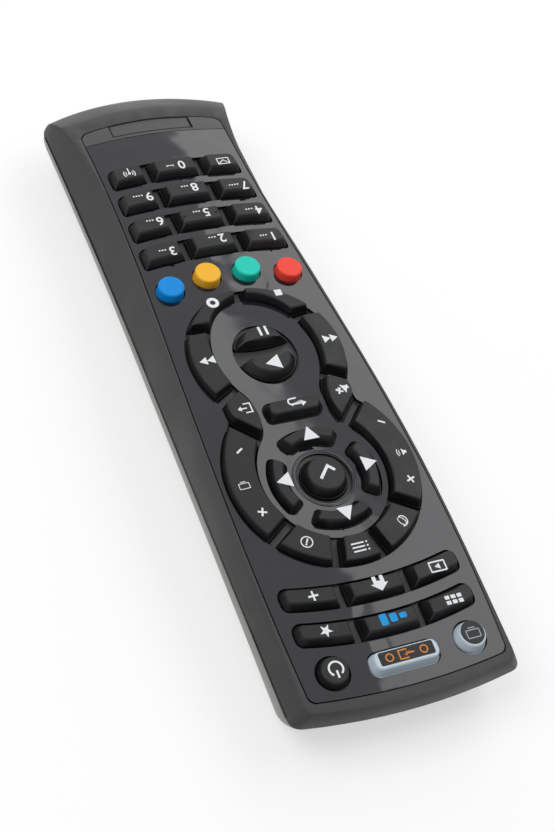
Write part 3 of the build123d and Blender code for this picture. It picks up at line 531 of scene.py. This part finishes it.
# Key, X and Y of its symbol's middle in millimetres, the symbol's turn in degrees, and the symbol.
SYMBOLS = [
    # Broken circle with an upright bar.
    ("power_key", 18.3, 90.9, 0, [stroke(arc_points(0, 0, 1.75, 125, 415, 36), 0.5), block_outline(0, 1.4, 0.55, 1.9)]),
    ("tv_key", -18.6, 91.0, 0, SCREEN),
    # Five-pointed star.
    ("favourites_key", 17.0, 81.4, 0, [[
        (r * math.cos(math.radians(90 + 36 * i)), r * math.sin(math.radians(90 + 36 * i)))
        for i, r in enumerate([1.75, 0.72] * 5)
    ]]),
    # Six small tiles.
    ("apps_key", -17.6, 81.6, 0, [block_outline(x, y, 1.25, 1.0, 0.15) for x in (-1.7, 0, 1.7) for y in (-0.7, 0.7)]),
    # Film frame with a play mark.
    ("media_key", -17.2, 72.4, 0, [*frame_outline(0, 0, 4.6, 3.0, 0.4, 0.3), [(-0.6, -0.8), (0.9, 0), (-0.6, 0.8)]]),
    # House with a door.
    ("home_key", -0.7, 73.1, 0, [[
        (-2.3, 0.1), (0, 2.1), (2.3, 0.1), (1.5, 0.1), (1.5, -1.9), (0.5, -1.9), (0.5, -0.6), (-0.5, -0.6),
        (-0.5, -1.9), (-1.5, -1.9), (-1.5, 0.1),
    ]]),
    ("plus_key", 16.6, 72.2, 0, plus_symbol(2.6, 0.5)),
    # Globe with two meridians.
    ("web_key", -13.4, 58.6, 32, ring_outline(0, 0, 1.6, 0.3) + [
        stroke([(bow * math.sin(t), 1.3 * math.cos(t)) for t in [math.pi * i / 12 for i in range(13)]], 0.24)
        for bow in (0.75, -0.75)
    ]),
    # Three lines with bullets.
    ("guide_key", 0, 62.8, 0, [
        block_outline(x, y, width, 0.42) for y in (-1.05, 0, 1.05) for x, width in ((0.45, 3.4), (-2.0, 0.5))
    ]),
    # Dot above a bar in a ring.
    ("info_key", 12.6, 58.3, -32, [
        *ring_outline(0, 0, 1.6, 0.3), closed_circle(0, 0.72, 0.26, 16), block_outline(0, -0.3, 0.42, 1.3),
    ]),
    ("channel_rocker", 20.2, 47.8, -20, plus_symbol(2.4, 0.5)),
    ("channel_rocker", 21.8, 39.6, 0, scaled(SCREEN, 0.75)),
    ("channel_rocker", 19.3, 29.9, 30, MINUS),
    ("volume_rocker", -20.8, 47.8, 20, plus_symbol(2.4, 0.5)),
    # Loudspeaker with two sound waves.
    ("volume_rocker", -22.0, 39.8, 0, [
        *scaled(SPEAKER, 0.7), *(stroke(arc_points(0, 0, r, -42, 42, 10), 0.24) for r in (0.9, 1.5)),
    ]),
    ("volume_rocker", -20.4, 30.0, -30, MINUS),
    ("up_key", -0.4, 53.1, 0, triangle(0)),
    ("down_key", -0.2, 29.2, 0, triangle(180)),
    ("left_key", -12.0, 40.8, 0, triangle(90)),
    ("right_key", 11.4, 40.8, 0, triangle(270)),
    # Tick for confirming.
    ("ok_key", -0.2, 40.8, 0, [stroke([(-2.2, 0.1), (-0.7, -1.5), (2.3, 1.7)], 0.8)]),
    # Arrow that turns back.
    ("back_key", -0.4, 19.2, 0, [
        stroke([(-1.6, 0.75), (1.0, 0.75), *arc_points(1.0, -0.15, 0.9, 90, -90, 12), (-0.6, -1.05)], 0.42),
        [(-1.5, -0.2), (-2.9, 0.75), (-1.5, 1.7)],
    ]),
    # Doorway with an arrow going out.
    ("exit_key", 13.2, 18.2, 0, [
        stroke([(0.1, 1.35), (-1.7, 1.35), (-1.7, -1.35), (0.1, -1.35)], 0.36), block_outline(0.15, 0, 1.5, 0.36),
        [(0.9, -0.8), (1.9, 0), (0.9, 0.8)],
    ]),
    # Loudspeaker with a cross, whose second line is broken where the first one runs.
    ("mute_key", -14.6, 18.1, 20, [
        *SPEAKER, stroke([(0.55, -0.75), (2.05, 0.75)], 0.5), stroke([(0.55, 0.75), (1.15, 0.15)], 0.5),
        stroke([(1.45, -0.15), (2.05, -0.75)], 0.5),
    ]),
    ("play_key", 0.2, 6.2, 0, triangle(270, 2.4)),
    ("pause_key", -1.0, -4.2, 0, [block_outline(x, 0, 0.7, 2.9) for x in (-0.9, 0.9)]),
    ("rewind_key", -18.2, 1.8, 0, double_triangle(-1)),
    ("forward_key", 17.2, 1.8, 0, double_triangle(1)),
    ("stop_key", -10.2, -15.7, 0, [block_outline(0, 0, 2.0, 2.0)]),
    # Disc with a hollow middle.
    ("record_key", 8.6, -16.0, 0, [closed_circle(0, 0, 1.7), closed_circle(0, 0, 0.75, 24)]),
    # Envelope with its flap.
    ("message_key", -14.2, -65.3, 0, [
        *frame_outline(0, 0, 3.7, 2.5, 0.3, 0.1), stroke([(-1.45, 0.8), (0, -0.35), (1.45, 0.8)], 0.28),
    ]),
    # Mast with waves on both sides.
    ("radio_key", 13.8, -65.7, 0, [
        *(stroke(arc_points(0, 0.3, r, a - 40, a + 40, 8), 0.26) for r in (0.95, 1.6) for a in (0, 180)),
        closed_circle(0, 0.3, 0.4, 16), block_outline(0, -0.95, 0.3, 1.7),
    ]),
    # Low bracket for a blank.
    ("digit_0_key", 0.6, -66.2, 0, [stroke([(0, 0.45), (0, 0), (1.9, 0), (1.9, 0.45)], 0.26)]),
    # Three bars that grow like a signal.
    ("service_key", -0.5, 82.4, 0, [block_outline(-2.6 + 2.6 * i, 0, 1.9, 1.4 + 0.8 * i, 0.35) for i in range(3)]),
    # Arrow into a box, between two sockets.
    ("input_key", 0, 91.8, 0, [
        stroke([(-0.3, 1.1), (2.0, 1.1), (2.0, -1.1), (-0.3, -1.1)], 0.34), block_outline(-0.9, 0, 2.2, 0.34),
        [(0.0, -0.65), (0.95, 0), (0.0, 0.65)], *ring_outline(-4.6, 0, 1.1, 0.34), *ring_outline(4.6, 0, 1.1, 0.34),
    ]),
]

# Key, figure, X and Y of its middle in millimetres, and how many small dots follow it.
FIGURES = [
    ("digit_1_key", "1", -17.0, -35.4, 3), ("digit_2_key", "2", -2.6, -37.4, 3), ("digit_3_key", "3", 12.4, -35.7, 3),
    ("digit_4_key", "4", -16.9, -45.5, 3), ("digit_5_key", "5", -1.9, -47.3, 3), ("digit_6_key", "6", 11.9, -46.7, 3),
    ("digit_7_key", "7", -16.6, -55.2, 4), ("digit_8_key", "8", -2.2, -57.1, 3), ("digit_9_key", "9", 11.5, -56.1, 4),
    ("digit_0_key", "0", -1.8, -66.1, 0),
]

# How far to the right of a figure's middle its dots start, and how far below it, in millimetres.
DOTS_AFTER, DOTS_BELOW = 1.9, 0.6

KEYS = [n for n in NODES if n.endswith(("_key", "_rocker"))]
PALE_KEYS = ("tv_key", "input_key")
TINTS = ("red", "green", "yellow", "blue")


def on_key(node, x_mm, y_mm, turn_deg, lift):
    """Matrix that puts a drawing on a key's flat top, at a place in millimetres and with its Y along the remote."""
    level, crown = 0.9, 1.6 * MM
    faces = [p for p in NODES[node].data.polygons if p.normal.z > level]
    high = max(p.center.z for p in faces)
    # The top is the largest level face near the key's height: the others further down belong to its foot.
    top = max((p for p in faces if p.center.z > high - crown), key=lambda p: p.area)
    centre, out = top.center, top.normal.normalized()
    across = Vector((1, 0, 0))
    across = (across - out * across.dot(out)).normalized()
    spin = Matrix((across, out.cross(across), out)).transposed()
    x, y = x_mm * MM, y_mm * MM
    z = centre.z - (out.x * (x - centre.x) + out.y * (y - centre.y)) / out.z
    spot = Vector((x, y, z)) + out * lift
    return Matrix.Translation(spot) @ (spin @ Matrix.Rotation(math.radians(turn_deg), 3, "Z")).to_4x4()


def flat_mesh(curve):
    """The mesh of a filled flat curve or text, which is removed after giving its name to the mesh."""
    name = curve.name
    holder = bpy.data.objects.new(name + "_drawing", curve)
    bpy.context.scene.collection.objects.link(holder)
    bpy.context.view_layer.update()
    mesh = bpy.data.meshes.new_from_object(holder.evaluated_get(bpy.context.evaluated_depsgraph_get()))
    bpy.data.objects.remove(holder)
    bpy.data.curves.remove(curve)
    mesh.name = name
    return mesh


def filled_curve(name, outlines, extrude, bevel=0.0):
    """A flat curve of closed outlines in millimetres, the inner ones as holes."""
    curve = bpy.data.curves.new(name, "CURVE")
    curve.dimensions = "2D"
    curve.fill_mode = "BOTH"
    curve.extrude = extrude
    curve.bevel_depth = bevel
    curve.bevel_resolution = 2
    for outline in outlines:
        spline = curve.splines.new("POLY")
        spline.points.add(len(outline) - 1)
        spline.points.foreach_set("co", [v for x, y in outline for v in (x * MM, y * MM, 0, 1)])
        spline.use_cyclic_u = True
    return curve


def figure_curve(name, figure, extrude):
    """A figure of the built-in font as a flat curve."""
    curve = bpy.data.curves.new(name, "FONT")
    curve.body = figure
    curve.size = sizes().digit_height / FIGURE_SHARE
    curve.offset = FIGURE_BOLDNESS
    curve.align_x = "CENTER"
    curve.align_y = "CENTER"
    curve.extrude = extrude
    return curve


def print_on(node, curve, material, matrix):
    """Prints a flat curve on a key, as a piece with the curve's name."""
    mesh = flat_mesh(curve)
    mesh.transform(matrix)
    add_piece(mesh, material, node, node)


class REMOTE_OT_stage(bpy.types.Operator):
    """Adds the camera, the lights, the pale surroundings and the floor"""

    bl_idname = "remote.stage"
    bl_label = "Stage"

    def execute(self, context):
        scene = context.scene
        scene.view_settings.view_transform = "Standard"
        camera = bpy.data.objects.new("camera", bpy.data.cameras.new("camera"))
        scene.collection.objects.link(camera)
        camera.location = (0.1882, 0.2533, 0.3850)
        camera.rotation_euler = [math.radians(a) for a in (37.6213, -12.4869, 157.3754)]
        camera.data.sensor_width = 36.0
        camera.data.lens = 80.06
        camera.data.clip_start = 0.01
        scene.camera = camera
        self.surround(scene)
        self.lay_floor(scene)
        # A long soft box beyond the battery end: its edge is the light and dark border in the plates.
        long_box = self.hang(scene, "soft_box", (0.7, 1.7), 6.3, (-0.809, -0.542, 0.90), (-0.809, -0.542, 0.0))
        long_box.rotation_euler = (0, 0, math.radians(-9.26))
        # A wide one overhead evens the key tops and draws the line of light along the left crest.
        self.hang(scene, "top_box", (0.9, 0.9), 8.0, (0.75, -0.15, 1.15), (0.0, -0.05, 0.0))
        # A low one beyond the battery end lights the far rim.
        self.hang(scene, "far_box", (1.2, 0.5), 3.8, (-0.5, -1.5, 0.3), (0.0, -0.1, 0.0))
        return {"FINISHED"}

    def surround(self, scene):
        """The pale room: white where it is seen or mirrored, and a soft light on everything else."""
        room_light, white = 0.38, 1.0
        world = bpy.data.worlds.new("pale_studio")
        scene.world = world
        world.use_nodes = True
        tree = world.node_tree
        tree.nodes.clear()
        seen = self.seen_rays(tree)
        light = add_node(tree, "ShaderNodeBackground", {"Color": (1, 1, 1, 1), "Strength": room_light})
        backdrop = add_node(tree, "ShaderNodeBackground", {"Color": (1, 1, 1, 1), "Strength": white})
        both = add_node(tree, "ShaderNodeMixShader", {}, {0: seen, 1: light, 2: backdrop})
        add_node(tree, "ShaderNodeOutputWorld", {}, {"Surface": both})

    def seen_rays(self, tree):
        """1 for a ray that shows the background to the camera, straight or by a mirror or glass."""
        rays, either = add_node(tree, "ShaderNodeLightPath").outputs, {"operation": "MAXIMUM"}
        first = add_node(tree, "ShaderNodeMath", either, {0: rays["Is Camera Ray"], 1: rays["Is Glossy Ray"]})
        return add_node(tree, "ShaderNodeMath", either, {0: first, 1: rays["Is Transmission Ray"]})

    def lay_floor(self, scene):
        """A matt paper sweep that reads as white and still keeps the shadow."""
        half, gap, paper_glow = 3.0, 0.2 * MM, 0.54
        mesh = bpy.data.meshes.new("floor")
        mesh.from_pydata([(-half, -half, 0), (half, -half, 0), (half, half, 0), (-half, half, 0)], [], [(0, 1, 2, 3)])
        floor = bpy.data.objects.new("floor", mesh)
        scene.collection.objects.link(floor)
        floor.location.z = -gap
        paper, tree, place = new_material("matt_paper_sweep")
        # Paper tooth of about 0.5 mm.
        tooth = add_node(tree, "ShaderNodeTexNoise", {"Scale": 1 / (0.5 * MM), "Detail": 2.0}, {"Vector": place})
        relief = add_node(tree, "ShaderNodeBump", {"Strength": 0.1, "Distance": 0.02 * MM}, {"Height": tooth})
        diffuse = add_node(tree, "ShaderNodeBsdfDiffuse", {"Color": shade(colours().floor)}, {"Normal": relief})
        # Where it is seen the paper glows a little, so that it reads as white.
        glow = add_node(tree, "ShaderNodeMath", {"operation": "MULTIPLY", 1: paper_glow}, {0: self.seen_rays(tree)})
        lift = add_node(tree, "ShaderNodeEmission", {"Color": (1, 1, 1, 1)}, {"Strength": glow})
        total = add_node(tree, "ShaderNodeAddShader", {}, {0: diffuse, 1: lift})
        mesh.materials.append(finished(paper, total))

    def hang(self, scene, name, size, power, place, target):
        """A rectangular soft box that faces a target."""
        lamp = bpy.data.lights.new(name, "AREA")
        lamp.shape = "RECTANGLE"
        lamp.size, lamp.size_y = size
        lamp.energy = power
        box = bpy.data.objects.new(name, lamp)
        scene.collection.objects.link(box)
        box.location = place
        box.rotation_euler = (Vector(target) - Vector(place)).to_track_quat("-Z", "Y").to_euler()
        return box


class REMOTE_OT_case(bpy.types.Operator):
    """Finishes the upper and lower case, the battery door and the heel"""

    bl_idname = "remote.case"
    bl_label = "Case"

    def execute(self, context):
        dark = moulded_abs("spark_eroded_abs_charcoal", colours().upper_case, 0.48, 0.02, 0.28)
        grey = moulded_abs("spark_eroded_abs_grey", colours().lower_case, 0.4, 0.02, 0.55)
        heel = moulded_abs("satin_abs_heel", colours().heel, 0.42, 0.008, 0.5)
        # Painted shade: a near-black piece stands for the shadow in the parting groove and at the foot of the pocket's
        # step. It is built up like the plastics: a rough grain in uneven patches, with next to no shine.
        dust_and_painted_shade = moulded_abs("dust_packed_in_a_corner", srgb("#0c0c0c"), 0.8, 0.02, 0.1)
        soften(dress("upper_case", dark), sizes().case_round)
        soften(dress("lower_case", grey), sizes().case_round)
        soften(dress("battery_door", grey), sizes().door_round)
        dress("heel_plate", heel)
        self.fill_groove(dust_and_painted_shade)
        self.edge_pocket(heel, dust_and_painted_shade)
        return {"FINISHED"}

    def fill_groove(self, dust_and_painted_shade):
        """A near-black piece that fills the groove below the parting line and the rounded edge above it: a thin dark
        line of painted shade.
        """
        bottom, top, depth, slack, rise = 12.3 * MM, 12.8 * MM, 0.9 * MM, 0.03 * MM, 0.3 * MM
        steepest_tilt = 0.3
        build = bmesh.new()
        build.from_mesh(NODES["lower_case"].data)
        # Only the back wall of the groove is kept: upright faces between its two heights that look outward.
        others = []
        for face in build.faces:
            middle, normal = face.calc_center_median(), face.normal
            back = normal.x * middle.x + normal.y * middle.y > 0 and abs(normal.z) < steepest_tilt
            if not back or any(not bottom - slack < v.co.z < top + slack for v in face.verts):
                others.append(face)
        bmesh.ops.delete(build, geom=others, context="FACES")
        bmesh.ops.remove_doubles(build, verts=build.verts, dist=WELD_DISTANCE)
        build.normal_update()
        # A copy of the wall is moved out along each corner's own direction, and walls join the two.
        # The piece is painted shade: it darkens the groove where its shadow falls.
        ways = {tuple(v.co): Vector((v.normal.x, v.normal.y, 0)).normalized() for v in build.verts}
        grown = bmesh.ops.extrude_face_region(build, geom=build.faces[:])["geom"]
        places = {v: ways[tuple(v.co)] for v in build.verts}
        for vertex in build.verts:
            vertex.co.z = min(max(vertex.co.z, bottom + slack), top - slack)
        for vertex in [item for item in grown if isinstance(item, bmesh.types.BMVert)]:
            vertex.co += places[vertex] * (depth - slack)
            if vertex.co.z > (bottom + top) / 2:
                vertex.co.z = top + rise
        bmesh.ops.recalc_face_normals(build, faces=build.faces)
        add_piece(mesh_of(build, "parting_line_dust"), dust_and_painted_shade, "case", "lower_case")

    def edge_pocket(self, heel, dust_and_painted_shade):
        """The lip between the heel's pocket and the gloss plate, and a dark line of painted shade at the foot of its
        step.
        """
        height, corner = height_on("heel_plate"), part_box("heel_plate")[1]
        half, bow, depth, lip, line, thin = 12.2 * MM, 140 * MM, 0.3 * MM, 0.9 * MM, 0.36 * MM, 0.03 * MM
        fill, step, steps = 0.9 * depth, 0.25 * MM, 24

        def floor_at(x, y):
            """Height of the pocket's floor, read just inside its side walls."""
            return height(max(-half + thin, min(half - thin, x)), y)

        def near_edge(x):
            """Where the heel plate ends, on an arc through its two corners."""
            return corner.y + math.sqrt(bow**2 - corner.x**2) - math.sqrt(bow**2 - x**2)

        wall = near_edge(0) - 0.1 * MM
        strip, painted_step_shade = [], []
        for i in range(steps + 1):
            x = half * (2 * i / steps - 1)
            y = near_edge(x) - lip
            z = floor_at(x, y - line)
            rise = (z - floor_at(x, y - line - 1 * MM)) / MM
            base = z + rise * line
            strip.append([
                (x, y, base - thin), (x, y, base + depth), (x, wall, base + depth + rise * (wall - y)),
                (x, wall, base - thin),
            ])
            # The dark line along the foot of the step is painted shade.
            painted_step_shade.append([(x, y - line, z - thin), (x, y - line, z + fill), (x, y, base + fill), (x, y, base - thin)])
        lines = [painted_step_shade]
        for side in (-1, 1):
            outer, inner = side * half, side * (half - line)
            y = near_edge(half) - lip
            run = []
            while (z := floor_at(inner, y)) is not None:
                run.append([(inner, y, z - thin), (inner, y, z + fill), (outer, y, z + fill), (outer, y, z - thin)])
                y -= step
            lines.append(run)
        add_piece(swept_mesh("pocket_lip", [strip]), heel, "case", "heel_plate")
        add_piece(swept_mesh("pocket_dust_line", lines), dust_and_painted_shade, "case", "heel_plate")


class REMOTE_OT_plates(bpy.types.Operator):
    """Polishes the plates round the keys and adds the bead round the centre key"""

    bl_idname = "remote.plates"
    bl_label = "Gloss plates"

    def execute(self, context):
        dress("face_plate", polished_abs("polished_abs_outer_plate", colours().gloss_plate, 0.34))
        gloss = polished_abs("polished_abs_centre_plate", colours().gloss_plate, 0.12)
        dress("centre_plate", gloss)
        self.add_bead(gloss)
        return {"FINISHED"}

    def add_bead(self, gloss):
        """A low half-round bead on the plate, which the centre key stands in."""
        middle = sum(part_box("ok_key"), Vector()) / 2
        plate_height, size = height_on("centre_plate"), sizes()
        half, sunk, arc = size.bead_width / 2, 0.1 * MM, [math.pi * i / 6 for i in range(7)]
        profile = [
            (size.bead_radius - half, -sunk),
            *((size.bead_radius - half * math.cos(t), size.bead_height * math.sin(t)) for t in arc),
            (size.bead_radius + half, -sunk),
        ]

        def place(radius, height, angle):
            """A point of the bead, on the crowned plate."""
            x, y = middle.x + radius * math.cos(angle), middle.y + radius * math.sin(angle)
            return Vector((x, y, plate_height(x, y) + height))

        add_piece(turned_mesh("centre_key_bead", profile, place, 96), gloss, "case", "centre_plate")


class REMOTE_OT_keys(bpy.types.Operator):
    """Finishes the silicone keys"""

    bl_idname = "remote.keys"
    bl_label = "Keys"

    def execute(self, context):
        black = coated_silicone("coated_silicone_black", colours().key_coat)
        rubbers = dict.fromkeys(PALE_KEYS, pigmented_silicone("grey_silicone", colours().pale_rubber, 0.4))
        for tint in TINTS:
            rubbers[tint + "_key"] = pigmented_silicone(tint + "_silicone", getattr(colours(), tint), 0.45)
        for node in KEYS:
            soften(dress(node, rubbers.get(node, black)), sizes().key_round)
        return {"FINISHED"}


class REMOTE_OT_prints(bpy.types.Operator):
    """Prints the symbols and figures on the keys"""

    bl_idname = "remote.prints"
    bl_label = "Printed marks"

    def execute(self, context):
        tints = ("white", "pale", "blue", "orange")
        white, pale, blue, orange = (screen_ink(t + "_screen_ink", getattr(colours(), t + "_ink")) for t in tints)
        black = coated_silicone("black_screen_ink", colours().key_coat)
        inks = {"tv_key": pale, "service_key": blue, "input_key": orange}
        lift = sizes().print_height / 2
        insets = [
            ("tv_key", [closed_circle(0, 0, 3.1, 64)], -18.5, 90.9),
            ("input_key", [block_outline(0, 0, 14.6, 3.4, 0.5)], 0, 91.8),
        ]
        for node, outlines, x, y in insets:
            print_on(node, filled_curve(node + "_inset", outlines, lift), black, on_key(node, x, y, 0, lift))
        counts = {}
        for node, x, y, turn, outlines in SYMBOLS:
            counts[node] = counts.get(node, 0) + 1
            # On the pale keys the symbol lies on the black inset.
            above = 3 * lift if node in PALE_KEYS else lift
            symbol = filled_curve(f"{node}_symbol_{counts[node]}", outlines, lift)
            print_on(node, symbol, inks.get(node, white), on_key(node, x, y, turn, above))
        for node, figure, x, y, dots in FIGURES:
            print_on(node, figure_curve(node + "_figure", figure, lift), white, on_key(node, x, y, 0, lift))
            if dots:
                row = filled_curve(node + "_dots", dots_symbol(dots), lift)
                print_on(node, row, white, on_key(node, x + DOTS_AFTER, y - DOTS_BELOW, 0, lift))
        return {"FINISHED"}


class REMOTE_OT_cells(bpy.types.Operator):
    """Finishes the cells, their springs and contacts, and wraps each cell in printed film"""

    bl_idname = "remote.cells"
    bl_label = "Cells"

    def execute(self, context):
        steel = plated_metal("nickel_plated_steel", srgb("#b3b1aa"), srgb("#d0cec8"), 0.26, 3.0)
        for node in ("cell_1", "cell_2", "battery_springs", "battery_contacts"):
            dress(node, steel)
        film = printed_film("printed_film_blue", colours().cell_film)
        band = printed_film("printed_film_white", srgb("#dfe3e4"))
        ink = screen_ink("film_screen_ink", colours().white_ink)
        for node, towards_near in (("cell_1", True), ("cell_2", False)):
            self.wrap(node, towards_near, film, band, ink)
        return {"FINISHED"}

    def wrap(self, node, towards_near, film, band, ink):
        """Film over the side and the two rims of a cell, with a band and the signs of its poles."""
        low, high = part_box(node)
        radius = (high.x - low.x) / 2
        middle_x, middle_z = (low.x + high.x) / 2, low.z + radius
        nub = 0.95 * MM  # The positive pole stands out this far.
        way = 1 if towards_near else -1
        plus_end = high.y - nub if towards_near else low.y + nub
        minus_end = low.y if towards_near else high.y
        length = abs(plus_end - minus_end)

        def place(from_axis, along, angle):
            """A point by its distance from the axis, its distance from the negative end and its angle."""
            x, z = middle_x + from_axis * math.cos(angle), middle_z + from_axis * math.sin(angle)
            return Vector((x, minus_end + way * along, z))

        skin = sizes().film
        rim, edge = 0.9 * MM, 0.25 * MM
        profile = [
            (radius - rim, -skin), (radius - edge, -skin), (radius + skin, edge), (radius + skin, length - edge),
            (radius - edge, length + skin), (radius - rim, length + skin), (radius - rim, length - skin),
            (radius - edge, length - edge), (radius - edge, edge), (radius - rim, skin),
        ]
        add_piece(turned_mesh(node + "_film", profile, place), film, "case", node)
        start, end = length - 12 * MM, length - 8.5 * MM
        ring = [(radius, start), (radius + 2 * skin, start), (radius + 2 * skin, end), (radius, end)]
        add_piece(turned_mesh(node + "_band", ring, place), band, "case", node)
        out = radius + 2.5 * skin
        for sign, shape, along in (("plus", plus_symbol(3.0, 0.7), length - 5 * MM), ("minus", CELL_MINUS, 6 * MM)):
            mesh = flat_mesh(filled_curve(f"{node}_{sign}", shape, sizes().print_height / 2))
            for vertex in mesh.vertices:
                turn, reach = vertex.co.x / radius, out - vertex.co.z
                x, z = middle_x + reach * math.sin(turn), middle_z - reach * math.cos(turn)
                vertex.co = Vector((x, minus_end + way * along + vertex.co.y, z))
            add_piece(mesh, ink, "case", node)


class REMOTE_OT_board(bpy.types.Operator):
    """Finishes the circuit board, its components, the keypad sheet and the emitter"""

    bl_idname = "remote.board"
    bl_label = "Board"

    def execute(self, context):
        dress("keypad_sheet", pigmented_silicone("grey_sheet_silicone", srgb("#6b6b6d"), 0.6))
        dress("circuit_board", solder_masked_board("solder_masked_board"))
        dress("controller_chip", cast_epoxy("transfer_moulded_epoxy", srgb("#151516"), 0.55, 0.0))
        can = plated_metal("drawn_aluminium_can", srgb("#a9abad"), srgb("#c3c5c7"), 0.3, 2.0)
        dress("smoothing_capacitor", can)
        dress("ir_emitter", cast_epoxy("tinted_cast_epoxy", srgb("#1b1424"), 0.12, 1.0))
        return {"FINISHED"}


class REMOTE_OT_screws(bpy.types.Operator):
    """Makes the four case screws with their cross recesses and threads"""

    bl_idname = "remote.screws"
    bl_label = "Screws"

    def execute(self, context):
        black = plated_metal("black_zinc_plated_steel", srgb("#39393d"), srgb("#55514c"), 0.36, 1.5)
        low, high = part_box("case_screws")
        length = high.z - low.z
        head_radius, shank_radius, core, tip = 1.9 * MM, 0.9 * MM, 0.68 * MM, 0.02 * MM
        head, recess, pitch, edge_mm = 1.5 * MM, 0.7 * MM, 0.8 * MM, 0.22
        # The pan is a disc with the cross cut through it. The rest is turned: the recess's floor, then the thread.
        pan_outline = [closed_circle(0, 0, head_radius / MM - edge_mm, 48), *plus_symbol(2.3, 0.6)]
        profile = [(tip, recess * 0.9), (head_radius, recess * 0.9), (head_radius, head), (core, head)]
        crest = head + pitch
        while crest < length - pitch:
            profile += [(core, crest - 0.3 * pitch), (shank_radius, crest), (core, crest + 0.3 * pitch)]
            crest += pitch
        profile += [(core, length - 0.5 * pitch), (tip, length)]
        joined = bmesh.new()
        for x, y in self.spots(head_radius):
            pan = flat_mesh(filled_curve("pan", pan_outline, (recess - 2 * edge_mm * MM) / 2, edge_mm * MM))
            pan.transform(Matrix.Translation((x, y, low.z + recess / 2)))

            def place(radius, height, angle):
                """A point of the turned part of this screw."""
                return Vector((x + radius * math.cos(angle), y + radius * math.sin(angle), low.z + height))

            for mesh in (pan, turned_mesh("shank", profile, place, 32, False)):
                joined.from_mesh(mesh)
                bpy.data.meshes.remove(mesh)
        piece = add_piece(mesh_of(joined, "cross_recess_screws"), black, "case", "case_screws")
        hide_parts("case_screws")
        return {"FINISHED"}

    def spots(self, head_radius):
        """The middles of the four screws, from the outermost points of the CAD node that they replace."""
        low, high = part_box("case_screws")
        points = [v.co for v in NODES["case_screws"].data.vertices]
        rows = [[v for v in points if (v.y > (low.y + high.y) / 2) == beyond] for beyond in (True, False)]
        return [
            (side * (max(abs(v.x) for v in row) - head_radius), (min(v.y for v in row) + max(v.y for v in row)) / 2)
            for row in rows for side in (-1, 1)
        ]


class REMOTE_PT_panel(bpy.types.Panel):
    """Lists the steps, the colours and the sizes."""

    bl_label = "Remote control"
    bl_idname = "REMOTE_PT_panel"
    bl_space_type = "VIEW_3D"
    bl_region_type = "UI"
    bl_category = "Remote"

    def draw(self, context):
        for operator in STEPS:
            self.layout.operator(operator.bl_idname)
        for group in (context.scene.remote_colours, context.scene.remote_sizes):
            box = self.layout.box()
            for name in group.__annotations__:
                box.prop(group, name)


GROUPS = (RemoteColours, RemoteSizes)
STEPS = (
    REMOTE_OT_stage, REMOTE_OT_case, REMOTE_OT_plates, REMOTE_OT_keys, REMOTE_OT_prints, REMOTE_OT_cells,
    REMOTE_OT_board, REMOTE_OT_screws,
)


def register():
    """Registers the classes and the two groups of choices."""
    for item in (*GROUPS, *STEPS, REMOTE_PT_panel):
        bpy.utils.register_class(item)
    bpy.types.Scene.remote_colours = PointerProperty(type=RemoteColours)
    bpy.types.Scene.remote_sizes = PointerProperty(type=RemoteSizes)


def unregister():
    """Takes the classes and the choices away again."""
    del bpy.types.Scene.remote_colours
    del bpy.types.Scene.remote_sizes
    for item in reversed((*GROUPS, *STEPS, REMOTE_PT_panel)):
        bpy.utils.unregister_class(item)


def main():
    """Runs every step in order."""
    register()
    bpy.ops.remote.stage()
    bpy.ops.remote.case()
    bpy.ops.remote.plates()
    bpy.ops.remote.keys()
    bpy.ops.remote.prints()
    bpy.ops.remote.cells()
    bpy.ops.remote.board()
    bpy.ops.remote.screws()


if __name__ == "__main__":
    main()
